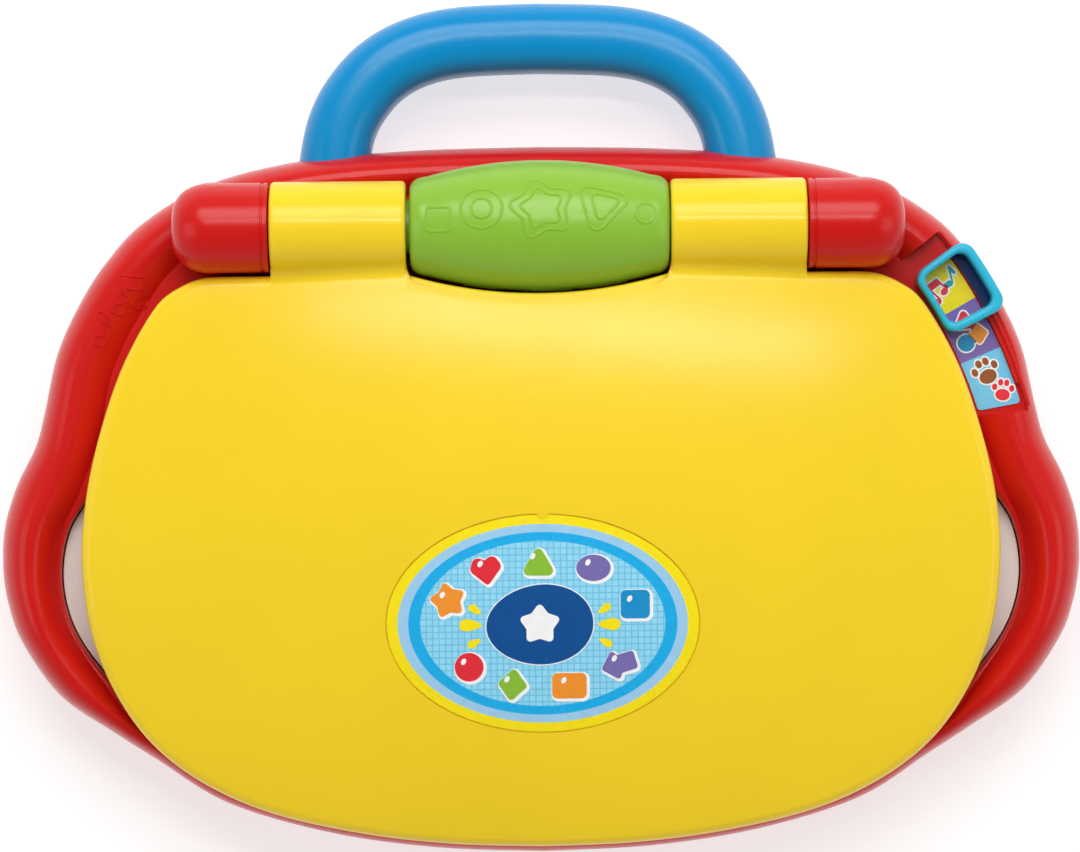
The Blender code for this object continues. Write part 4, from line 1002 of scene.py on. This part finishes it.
def roller(paint):
    """The barrel with its collars, and raised outlines of five shapes in three rows round it."""
    corner = 4.5
    base = barrel_radius(ROLLER_HALF - corner) - SHAPE_RISE
    half = [(7.4, 42.5), (7.4, ROLLER_HALF)]
    for k in range(10):
        a = math.pi / 2 * k / 9.6
        half.append((base - corner * 0.75 * (1 - math.sin(a)), ROLLER_HALF - corner * (1 - math.cos(a))))
    half += [(barrel_radius(x) - SHAPE_RISE, x) for x in [30.6 - 1.7 * k for k in range(19)]]
    profile = half + [(r, -x) for r, x in reversed(half[:-1])]
    profile += [(5.0, -42.5), (5.0, 42.5)]
    barrel = turned("roller_barrel", profile, 120, paint["green"], (ROLLER_SHIFT, HINGE_Y, HINGE_Z), "X", True)
    stands_for(barrel, "roller", "roller")

    shapes = [
        ([rectangle(3.3, 3.3, 1.1)], -27.4, 1.4),
        ([ellipse(5.6, 5.6, 40), ellipse(2.8, 2.8, 28)], -15.7, 4.3),
        ([placed(star(9.9), (0, 0), 13), placed(star(6.6), (0, 0), 13)], 0.7, 4.3),
        ([placed(triangle(8.0), (0, 0), -75), placed(triangle(4.6), (0, 0), -75)], 18.1, 5.2),
        ([ellipse(2.75, 2.75, 28)], 28.7, 2.6),
    ]
    ridges = []
    for row in range(3):
        turn = row * 2 * math.pi / 3
        for outlines, x, along in shapes:
            for outline in outlines:
                ring = densify(outline, 0.8)
                line = [wrapped(x + u, along + v, SHAPE_RISE - 0.55, turn) for u, v in ring]
                ridges.append(tube("ridge", line + line[:1], 0.55, paint["green"], 8))
    ridge = joined("roller_shapes", ridges)
    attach(ridge, "roller")


def boss_arch(x, radius, foot, flare):
    """One arch of a hinge boss: a round top on upright legs, which spread at the foot."""
    points = []
    steps = 28
    for k in range(steps + 1):
        a = math.pi * k / steps
        points.append((x, HINGE_Y + radius * math.cos(a), HINGE_Z + radius * math.sin(a)))
    for k in range(1, 6):
        t = k / 5
        points.append((x, HINGE_Y - radius - flare * t**3, HINGE_Z + (foot - HINGE_Z) * t))
    for k in range(5, 0, -1):
        t = k / 5
        points.append((x, HINGE_Y + radius + flare * t**3, HINGE_Z + (foot - HINGE_Z) * t))
    return points


def bosses(paint):
    """Hinge bosses: an arch with a domed outer end and a lip ring at the inner end."""
    shoulder = 90.0
    for side, name in ((1, "right"), (-1, "left")):
        lip = [(0.0, 0.4), (0.25, 0.0), (1.3, 0.0), (1.5, 0.3), (1.9, 0.3), (2.1, 0.0)]
        stations = [(BOSS_INNER + along, BOSS_RADIUS - step) for along, step in lip]
        run = shoulder - BOSS_INNER - 2.1
        stations += [(BOSS_INNER + 2.1 + run * k / 4, BOSS_RADIUS) for k in range(1, 5)]
        for k in range(1, 17):
            a = math.pi / 2 * k / 16.6
            stations.append((shoulder + (BOSS_END - shoulder) * math.sin(a), BOSS_RADIUS * math.cos(a) ** 0.62))
        rings = [[(side * p[0], p[1], p[2]) for p in boss_arch(x, r, 30.0, 1.2)] for x, r in stations]
        boss = lofted(f"hinge_boss_{name}", rings, paint["red"], angle=40)
        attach(boss, "base")
        pipe = [(7.4, 76), (7.4, 63.2), (7.0, 62.5), (5.2, 62.5), (5.0, 62.9), (5.0, 76)]
        profile = [(radius, side * x) for radius, x in pipe]
        at = (0, HINGE_Y, HINGE_Z)
        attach(turned(f"hinge_spigot_{name}", profile, 48, paint["red"], at, "X", True), "base")


# ---------------------------------------------------------------- body


def frame_section(rib):
    """Cross-section of the upper frame, finer than the CAD's, as (distance in, height) points."""
    crest_in, crest, slope_in, slope = rib[4:8]
    width = math.dist(rib[0:2], rib[2:4])
    low, spring = PARTING + GAP, 24.0
    points = [(0.7, low), (0.15, low + 0.2), (0.0, low + 0.7), (0.0, spring - 2)]
    points += [
        (crest_in * (1 - math.cos(a)), spring + (crest - spring) * math.sin(a))
        for a in [math.pi / 2 * k / 12 for k in range(13)]
    ]
    for k in range(1, 9):
        t = k / 8
        ease = 1 - math.cos(t * math.pi / 2)
        points.append((crest_in + (slope_in - crest_in) * t, crest + (slope - crest) * ease))
    points += [(width - 0.9, slope), (width - 0.3, slope - 0.25), (width, slope - 0.9), (width, DECK_TOP + 0.4)]
    ledge = DECK_TOP - 2.3
    points += [(width, ledge), (width - WALL, ledge), (width - WALL, 29.0)]
    return points + [(WALL + 1.0, 29.0), (WALL, 26.0), (WALL, low)]


def leg_holes():
    """Cutters for the handle's legs in the rear wall."""
    cutters = []
    for side in (-1, 1):
        hole = rectangle(HANDLE_HALF_WIDTH + 0.5, HANDLE_HALF_DEPTH + 0.3, 8.6, 10)
        hole = placed(hole, (side * 56.6, HANDLE_Z))
        cutters.append(lofted("leg_hole", [[(x, y, z) for x, z in hole] for y in (62.0, 84.0)]))
    return cutters


def upper_frame(paint):
    """The red frame, with the mode track, the roller's room and a ridge along the track."""
    rings = []
    for rib in body_ribs():
        outer, inner = Vector(rib[0:2]), Vector(rib[2:4])
        inward = (inner - outer).normalized()
        rings.append([(*(outer + inward * s), z) for s, z in frame_section(rib)])
    shell = lofted("body_frame", rings, paint["red"], wrap=True, angle=40)

    cutters = [stacked("channel", track_stretch(CHANNEL_RADII), [(0, CHANNEL_FLOOR), (0, 46)])]
    bench = track_stretch((CHANNEL_RADII[1] - 0.4, 150))
    cutters.append(stacked("bench", bench, [(0, BENCH_TOP), (0, 46)]))
    slot = sector((135.95, CHANNEL_RADII[1]), (SLIDER_ANGLE - 13.0, SLIDER_ANGLE + 3.4), steps=24)
    cutters.append(stacked("slot", slot, [(0, 30.5), (0, 35)]))
    room = [(barrel_radius(x) + 0.8, x + ROLLER_SHIFT) for x in [-36.6 + 3.05 * k for k in range(25)]]
    cutters.append(turned("roller_room", room, 96, None, (0, HINGE_Y, HINGE_Z), "X"))
    boolean(shell, cutters + leg_holes())
    stands_for(shell, "base", "base_upper_frame")
    turns = [15.4 + 22.5 * k / 40 for k in range(41)]
    line = [(*track_point(CHANNEL_RADII[1] + 0.75, turn), BENCH_TOP + 0.1) for turn in turns]
    ridge = tube("track_ridge", line, 0.5, paint["red"], 10)
    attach(ridge, "base")


def frame_height(point):
    """Height of the frame's top under a point at the frame's side."""
    best = None
    for rib in body_ribs():
        outer, inner = Vector(rib[0:2]), Vector(rib[2:4])
        inward = (inner - outer).normalized()
        away = Vector(point) - outer
        off = abs(away.dot(Vector((-inward.y, inward.x))))
        if best is None or off < best[0]:
            best = (off, away.dot(inward), rib)
    _, distance, rib = best
    section = frame_section(rib)[3:24]
    for (s0, z0), (s1, z1) in zip(section, section[1:]):
        if s0 <= distance <= s1 and s1 > s0:
            return z0 + (z1 - z0) * (distance - s0) / (s1 - s0)
    return rib[7]


def raised_notes(paint):
    """Music notes moulded on the frame's upper left, as raised outlines."""
    ridges = []
    notes = (placed(note_pair(9.8), (-113.2, 37.2), 6), placed(single_note(9.0), (-121.4, 27.6), 10))
    for outline in notes:
        line = [(x, y, frame_height((x, y)) + 0.05) for x, y in densify(outline, 0.6)]
        ridges.append(tube("note", line + line[:1], 0.32, paint["red"], 8))
    ridge = joined("frame_notes", ridges)
    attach(ridge, "base")


def lower_shell(paint):
    """The red tray, with seats for the battery door, the screws and the feet."""
    levels = [(9.0, BOTTOM), (6.6, BOTTOM + 0.3), (4.4, 3.2), (2.7, 4.8), (1.4, 6.8), (0.5, 9.4), (0.0, 12.5)]
    levels += [(0.0, PARTING - 0.8), (0.15, PARTING - 0.2), (0.8, PARTING), (WALL, PARTING), (WALL, 12), (10, 5)]
    shell = stacked("body_tray", body_outline(), levels, paint["red"], angle=40)
    door = placed(rectangle(33.4, 22.4, 3), (0, BAY_CENTRE_Y - 3.4))
    cutters = [stacked("door_seat", door, [(0, 0), (0, 4.0)])]
    for x, y in BASE_SCREWS:
        for side in (1, -1):
            cutters.append(turned("screw_hole", [(3.3, 0), (3.3, 6.0)], 32, None, (side * x, y, 0)))
    for x, y in FEET:
        for side in (1, -1):
            cutters.append(turned("foot_seat", [(7.4, 0), (7.4, BOTTOM + 0.5)], 40, None, (side * x, y, 0)))
    boolean(shell, cutters + leg_holes())
    stands_for(shell, "base", "base_lower_shell")


def underside(paint):
    """Battery door with grip ribs, deep screws and rubber feet."""
    y = BAY_CENTRE_Y - 3.4
    levels = [(0.9, BOTTOM), (0.4, BOTTOM + 0.12), (0.0, BOTTOM + 0.6), (0, 3.8)]
    door = stacked("battery_door", placed(rectangle(33.1, 22.1, 3), (0, y)), levels, paint["red"])
    screw_y = BAY_CENTRE_Y - 21.5
    boolean(door, [turned("head_room", [(3.1, 0), (3.1, 3.2)], 32, None, (0, screw_y, 0))])
    stands_for(door, "base", "battery_cover")
    ribs = []
    for k in range(5):
        line = [(x, y + 6 + 2.4 * k, BOTTOM + 0.35) for x in (-9, 9)]
        ribs.append(tube("rib", line, 0.55, paint["red"], 10))
    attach(joined("door_ribs", ribs), "base")

    sides = (("right", 1), ("left", -1))
    for body, places, low in (("base", BASE_SCREWS, 5.6), ("lid", LID_SCREWS, 36.1)):
        for i, (x, y) in enumerate(places, 1):
            for name, side in sides:
                node = f"{body}_screw_{name}_{i}"
                stands_for(screw(node + "_head", (side * x, y, low), paint), body, node)
    head = screw("battery_cover_screw_head", (0, screw_y, 2.2), paint)
    stands_for(head, "base", "battery_cover_screw")

    profile = [(7.0, BOTTOM + 0.4), (7.0, 0.9), (6.8, 0.45), (6.4, 0.12), (5.9, 0.0)]
    profile += [(4.3, 0.0), (4.0, 0.3), (2.2, 0.3), (1.9, 0.0), (0.3, 0.0)]
    for place, (x, y) in zip(("rear", "front"), FEET):
        for name, side in sides:
            foot = turned(f"rubber_foot_{place}_{name}", profile, 48, paint["foot"], (side * x, y, 0))
            stands_for(foot, "base", f"foot_{place}_{name}")


def screw(name, at, paint):
    """A pan-head screw, head down, with a cross recess."""
    profile = [(0.1, 0.0), (1.6, 0.05), (2.4, 0.35), (2.75, 0.9), (2.75, 1.7), (1.2, 1.75)]
    for k in range(9):
        z = 1.9 + 0.7 * k
        profile += [(1.2, z), (0.95, z + 0.35)]
    head = turned(name, profile, 28, paint["steel"], at)
    cross = []
    for half in ((1.5, 0.32), (0.32, 1.5)):
        cross.append(stacked("recess", placed(rectangle(*half, 0.1, 2), at[:2]), [(0, at[2] - 1), (0.1, at[2] + 0.9)]))
    return boolean(head, cross)


def handle(paint):
    """The handle's two halves, each a D-shaped section swept along the arch."""
    right = curve_through(HANDLE_PATH, 8)
    path = right + [(-x, y) for x, y in reversed(right[:-1])]
    for node, sign in (("handle_front_half", 1), ("handle_rear_half", -1)):
        outside = []
        for k in range(25):
            a = math.pi * k / 24
            u = math.copysign(abs(math.cos(a)) ** 0.85, math.cos(a)) * HANDLE_HALF_WIDTH
            outside.append((u, HANDLE_HALF_DEPTH * math.sin(a) ** 0.85))
        corner = [(HANDLE_HALF_WIDTH - 0.25, 0.12), (HANDLE_HALF_WIDTH, 0.4)]
        outside = corner + outside[1:-1] + [(-u, v) for u, v in reversed(corner)]
        inside = [(-6.5, 0.12), (6.5, 0.12)]
        rings = []
        for i, point in enumerate(path):
            before, after = path[max(i - 1, 0)], path[min(i + 1, len(path) - 1)]
            along = (Vector(after) - Vector(before)).normalized()
            across = Vector((along.y, -along.x))
            x, y = point
            ring = [(x + across.x * u, y + across.y * u, HANDLE_Z + sign * v) for u, v in outside + inside]
            rings.append(ring)
        half = lofted(node.replace("handle", "grip"), rings, paint["blue"], angle=40)
        stands_for(half, "base", node)


# ---------------------------------------------------------------- mode selector


def mode_selector(paint):
    """The mode label: three printed fields with notes, shapes and paw prints, and the ring above it."""
    top = CHANNEL_FLOOR + 0.6
    fields = [((14.0, 22.9), "ink_sky"), ((22.9, 29.4), "ink_violet"), ((29.4, 38.0), "ink_yellow")]
    whole = track_stretch(LABEL_RADII, 16.5, 0.045, 35.1, True)
    parts = [stacked("label_base", whole, [(0, top - 0.5), (0, top - 0.3)], paint["paper"])]
    for (low, high), ink in fields:
        field = stacked("field", whole, [(0, top - 0.25), (0, top - 0.1)], paint[ink])
        keep = sector((LABEL_RADII[0] - 3, LABEL_RADII[1] + 3), (low, high), steps=24)
        boolean(field, [stacked("keep", keep, [(0, top - 2), (0, top + 2)])], "INTERSECT")
        parts.append(field)

    def stamp(outlines, radius, angle, ink, turn=0.0):
        at = track_point(radius, angle)
        for k, outline in enumerate(outlines):
            halo = inset(placed(outline, at, turn), -0.4)
            parts.append(print_patch("halo", halo, level(top - 0.07 + 0.004 * k), 0.05, paint["paper"]))
        for k, outline in enumerate(outlines):
            icon = placed(outline, at, turn)
            parts.append(print_patch("icon", icon, level(top - 0.02 + 0.004 * k), 0.05, paint[ink]))

    stamp([note_pair(5.8)], 127.3, 32.4, "ink_red", 48)
    stamp([single_note(5.5)], 132.4, 33.1, "ink_teal", 14)
    stamp([triangle(3.4)], 129.9, 27.7, "ink_red", 8)
    stamp([ellipse(2.35, 2.35, 32)], 127.5, 25.0, "ink_blue")
    stamp([diamond(3.1)], 131.7, 25.4, "ink_orange", 10)
    stamp(paw(8.6), 129.4, 20.85, "ink_brown", 24)
    stamp(paw(7.0), 132.1, 18.0, "ink_red", -6)
    stands_for(joined("mode_print", parts), "base", "mode_label")
    slider_ring(paint)


def slider_ring(paint):
    """The ring: a soft-edged loop that clears the label inside and wraps over the frame's outer edge."""
    angles = (SLIDER_ANGLE - SLIDER_HALF_ANGLE, SLIDER_ANGLE + SLIDER_HALF_ANGLE)
    outer = sector(SLIDER_RADII, angles, 4.0)
    window = sector((125.5, 139.3), RING_OPENING, 2.8)
    soft = 1.1
    arcs = [math.pi / 2 * k / 6 for k in range(7)]
    levels = [(0.0, 29.5)] + [(soft * (1 - math.cos(a)), SLIDER_TOP - soft * (1 - math.sin(a))) for a in arcs]
    ring = stacked("mode_ring", outer, levels, paint["slider_blue"])
    hole_levels = [(0.0, 28.0)] + [(soft * (math.cos(a) - 1), SLIDER_TOP - soft * (1 - math.sin(a))) for a in arcs]
    hole_levels.append((-soft, SLIDER_TOP + 3))
    floor_z = BENCH_TOP + GAP
    section = [(118, 26), (118, 34.2), (136.2, 34.2), (136.4, floor_z), (139.0, floor_z), (141.8, 31.0), (146, 26)]
    under = []
    for k in range(25):
        turn = SLIDER_ANGLE - 8 + 16 * k / 24
        under.append([(*track_point(r, turn), z) for r, z in section])
    boolean(ring, [lofted("under", under), stacked("window", window, hole_levels)])
    stands_for(ring, "mode_slider", "mode_slider")
    # The leg and a thin sheet across the ring's window are dark navy: painted shade, standing for the shadow that the
    # ring's walls cast inside the window.
    span = (SLIDER_ANGLE - 1.9, SLIDER_ANGLE + 1.9)
    navy = paint["painted_shade_navy"]
    leg = stacked("leg", sector((136.1, 136.75), span, steps=6), [(0, 24.6), (0, 35.4)], navy)
    shade_sheet = stacked("shade_sheet", sector((136.1, 139.8), RING_OPENING, steps=12), [(0, 35.0), (0, 35.5)], navy)
    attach(joined("mode_ring_leg", [leg, shade_sheet]), "mode_slider")


# ---------------------------------------------------------------- keyboard


def key_set():
    """Node, outline, colour and centre of each key; the centres are the CAD keys' own."""
    shapes = {
        "heart": (heart(), "pink_red"),
        "triangle": (triangle(12.5), "green"),
        "star": (star(13.5, 2.3), "orange"),
        "oval": (ellipse(13, 10, 64), "purple"),
        "square": (rectangle(10.5, 10.5, 3), "blue"),
        "circle": (ellipse(11.5, 11.5, 64), "pink_red"),
        "diamond": (diamond(13.5), "green"),
        "rectangle": (rectangle(12.5, 9, 3), "orange"),
        "arrow": (arrow(13.5), "purple"),
    }
    back = [(x, 17.5) for x in (-72, -36, 0, 36, 72)]
    front = [(x, -15.5) for x in (-54, -18, 18, 54)]
    return [(name, *shape, centre) for (name, shape), centre in zip(shapes.items(), back + front)]


def keyboard(paint):
    """The deck with its slots and relief, the printed label with a ring round each key, and the keys."""
    keys = key_set()
    arcs = [(reach, middle) for reach in (4.0, 8.5, 13.0) for middle in (0, 180)]
    edge = inset([(r[2], r[3]) for r in body_ribs()], 0.4)
    holes = [placed(inset(outline, -0.6), centre) for _, outline, _, centre in keys]
    holes.append(placed(rectangle(21.2, 3.0, 2.9), (0, MOUSE_Y)))
    holes.append(placed(rectangle(6.4, 1.8, 0.6), VOLUME_CENTRE))
    for reach, middle in arcs:
        radii, turns = (reach - 0.9, reach + 0.9), (middle - 62, middle + 62)
        holes.append(sector(radii, turns, steps=20, centre=SPEAKER_CENTRE))
    deck = plate("deck", [edge, *holes], DECK_TOP - 2, DECK_TOP, paint["white"])
    stands_for(deck, "base", "keyboard_deck")

    raised = []
    x, y = -SPEAKER_CENTRE[0], SPEAKER_CENTRE[1]
    for reach, middle in arcs:
        turns = [math.radians(middle + t) for t in range(-62, 63, 6)]
        arc = [(x + reach * math.cos(a), y + reach * math.sin(a), DECK_TOP + 0.05) for a in turns]
        raised.append(tube("arc", arc, 0.6, paint["white"], 10))
    pad = placed(rectangle(42, 16.5, 14, 12), (0, MOUSE_Y))
    rim = [(x, y, DECK_TOP + 0.1) for x, y in densify(pad, 2) + pad[:1]]
    raised.append(tube("pad_rim", rim, 0.9, paint["white"], 12))
    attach(joined("deck_relief", raised), "base")

    label_edge = rounded([(93, 34), (-93, 34), (-100, 2), (-84, -34), (84, -34), (100, 2)], 9)
    windows = [placed(inset(outline, -1.6), centre) for _, outline, _, centre in keys]
    low = DECK_TOP + GAP
    label = plate("key_label", [label_edge, *windows], low, low + 0.2, paint["ink_sky"])
    stands_for(label, "base", "keyboard_label")
    prints = []
    ink_top = level(low + 0.26)
    for k, (name, outline, _, centre) in enumerate(keys):
        ring = [inset(outline, -3.4), inset(outline, -1.6)]
        if name == "arrow":
            ring = [arrow(17.6), arrow(15.4)]
        outer, inner = [placed(line, centre) for line in ring]
        ink = "paper" if k % 2 else "lemon"
        prints.append(print_band("halo", outer, inner, ink_top, 0.05, paint[ink]))
    sparks = [
        (-90, -4, "ink_orange"),
        (-36, -15.5, "ink_red"),
        (0, -15.5, "lemon"),
        (36, -15.5, "ink_green"),
        (90, -4, "ink_orange"),
        (-18, 24, "paper"),
        (18, 24, "paper"),
        (-76, -22, "paper"),
        (76, -22, "paper"),
    ]
    for x, y, ink in sparks:
        prints.append(print_patch("spark", placed(star(3.4), (x, y), 10), ink_top, 0.05, paint[ink]))
    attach(joined("key_label_print", prints), "base")

    for name, outline, colour, centre in keys:
        node = f"key_{name}"
        low_z, high_z = box_mm(node)[0][2], box_mm(node)[1][2]
        shape = placed(densify(outline, 1.6), centre)
        cap = crowned(f"cap_{name}", shape, DECK_TOP - 4.1, high_z - 0.7, 1.8, 0.7, paint[colour])
        flange = stacked("flange", inset(shape, -1.6), [(0, low_z), (0, low_z + 1.5)], paint[colour])
        stands_for(joined(f"keycap_{name}", [cap, flange]), node, node)


def mouse(paint):
    """The sliding mouse: a domed body with two split buttons, a wheel and a stem into the deck."""
    outline = placed(ellipse(16, 12.5, 72), (0, MOUSE_Y))
    levels = [(1.0, 28.4), (0.3, 28.8), (0.0, 29.6)]
    rings = [[(x, y, z) for x, y in inset(outline, step)] for step, z in levels]
    for k in range(1, 15):
        a = math.pi / 2 * k / 14.6
        share = math.cos(a)
        rings.append([(x * share, MOUSE_Y + (y - MOUSE_Y) * share, 29.6 + 4.6 * math.sin(a)) for x, y in outline])
    body = lofted("mouse_body", rings, paint["orange"])
    cutters = [stacked("split", placed(rectangle(0.35, 5.0, 0.3, 2), (0, MOUSE_Y + 8.5)), [(0, 30.5), (0, 36)])]
    arc = sector((11.6, 12.3), (35, 145), steps=24, centre=(0, MOUSE_Y - 8.0))
    cutters.append(stacked("seam", arc, [(0, 30.5), (0, 36)]))
    boolean(body, cutters)
    stem = turned("stem", [(2.5, 22.4), (2.5, 30)], 32, paint["orange"], (0, MOUSE_Y, 0))
    profile = [(0.4, -1.0), (1.9, -1.0), (2.3, -0.6), (2.3, 0.6), (1.9, 1.0), (0.4, 1.0)]
    wheel = turned("mouse_wheel", profile, 32, paint["purple"], (0, MOUSE_Y + 8.2, 31.6), "X")
    stands_for(joined("mouse_shell", [body, stem]), "mouse", "mouse")
    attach(wheel, "mouse")


def volume(paint):
    """The volume knob, its stem and three ribs across its top."""
    x, y = VOLUME_CENTRE
    purple = paint["purple"]
    outline = placed(densify(rectangle(4.5, 3.4, 1), 1.2), (x, y))
    parts = [crowned("knob", outline, 28.4, 31.2, 0.7, 0.1, purple)]
    parts.append(stacked("stem", placed(rectangle(1.7, 1.3, 0.2, 2), (x, y)), [(0, 24.6), (0, 29)], purple))
    for k in (-1, 0, 1):
        line = [(x + 1.6 * k, y + reach, 31.2) for reach in (-2.3, 2.3)]
        parts.append(tube("rib", line, 0.3, purple, 8))
    stands_for(joined("volume_slider", parts), "volume_knob", "volume_knob")


def carried_over(paint):
    """Better materials on the CAD nodes that keep their own shape."""
    by_slot = {
        "white_plastic": "white",
        "red_plastic": "red",
        "grey_plastic": "grey",
        "purple_plastic": "purple",
        "clear_window": "window",
        "cable_sheath": "sheath",
        "silicone": "silicone",
        "circuit_board": "circuit",
        "speaker_steel": "stamped",
        "brass_contact": "brass",
        "battery_foil": "foil",
        "screw_steel": "steel",
        "foot_rubber": "foot",
    }
    for node, obj in frame["nodes"].items():
        material = paint[by_slot.get(SLOTS[node], "white")]
        for slot in obj.material_slots:
            slot.material = material


# ---------------------------------------------------------------- studio


def floor():
    """White sweep, lit a little from below so that the shadows stay pale."""
    material, tree, shader, place = node_material("studio_paper")
    cloud = noise(tree, place, 3.0, 2.0)
    tree.links.new(ramp(tree, cloud, (0.54, 0.54, 0.54, 1), (0.57, 0.57, 0.57, 1)), shader.inputs["Base Color"])
    shader.inputs["Roughness"].default_value = 0.95
    shader.inputs["Specular IOR Level"].default_value = 0.0
    shader.inputs["Emission Color"].default_value = (1.0, 1.0, 1.0, 1.0)
    shader.inputs["Emission Strength"].default_value = 0.6
    builder = bmesh.new()
    bmesh.ops.create_grid(builder, x_segments=4, y_segments=4, size=12000)
    ground = finish_mesh("floor", builder, material)


def light(name, place, target, size, power):
    """A soft box at place, turned to face the target."""
    lamp = bpy.data.lights.new(name, "AREA")
    lamp.shape = "RECTANGLE"
    lamp.size, lamp.size_y = size
    lamp.energy = power
    obj = bpy.data.objects.new(name, lamp)
    bpy.context.scene.collection.objects.link(obj)
    obj.location = place
    obj.rotation_mode = "QUATERNION"
    obj.rotation_quaternion = (Vector(target) - Vector(place)).to_track_quat("-Z", "Y")


def sky():
    """White surroundings that darken towards the zenith, as in a tent with the camera's opening above."""
    world = bpy.data.worlds.new("studio")
    bpy.context.scene.world = world
    world.use_nodes = True
    tree = world.node_tree
    place = tree.nodes.new("ShaderNodeTexCoord")
    split = tree.nodes.new("ShaderNodeSeparateXYZ")
    shade = tree.nodes.new("ShaderNodeValToRGB")
    stops = shade.color_ramp.elements
    stops[0].position, stops[0].color = 0.1, (0.72, 0.72, 0.72, 1)
    stops[1].position, stops[1].color = 0.95, (0.16, 0.16, 0.16, 1)
    middle = stops.new(0.55)
    middle.color = (0.36, 0.36, 0.36, 1)
    tree.links.new(place.outputs["Generated"], split.inputs["Vector"])
    tree.links.new(split.outputs["Z"], shade.inputs["Fac"])
    tree.links.new(shade.outputs["Color"], tree.nodes["Background"].inputs["Color"])


def studio():
    bpy.context.scene.view_settings.view_transform = "Standard"
    sky()
    floor()
    light("back_box", (0.0, 0.66, 0.86), (0, 0.0, 0.03), (1.0, 0.46), 6.6)
    light("high_strip", (0.05, 0.35, 1.20), (0, 0.03, 0.05), (0.72, 0.06), 2.8)
    light("left_fill", (-1.2, -0.1, 1.0), (0, 0, 0.03), (0.8, 0.8), 2.8)
    light("right_fill", (1.2, -0.1, 1.0), (0, 0, 0.03), (0.8, 0.8), 2.8)


def camera():
    """Straight above the closed lid, as the reference view, turned by half a degree."""
    data = bpy.data.cameras.new("camera")
    data.sensor_width = 36.0
    data.lens = 164.4
    data.clip_start = 0.1
    obj = bpy.data.objects.new("camera", data)
    bpy.context.scene.collection.objects.link(obj)
    obj.location = (0.0, 0.0, 1.400)
    obj.rotation_euler = (0, 0, math.radians(-0.5))
    bpy.context.scene.camera = obj


camera()
studio()
PAINT = make_materials()
carried_over(PAINT)
lid_shell(PAINT)
knuckles(PAINT)
badge(PAINT)
lid_inside(PAINT)
roller(PAINT)
bosses(PAINT)
upper_frame(PAINT)
raised_notes(PAINT)
lower_shell(PAINT)
underside(PAINT)
handle(PAINT)
mode_selector(PAINT)
keyboard(PAINT)
mouse(PAINT)
volume(PAINT)
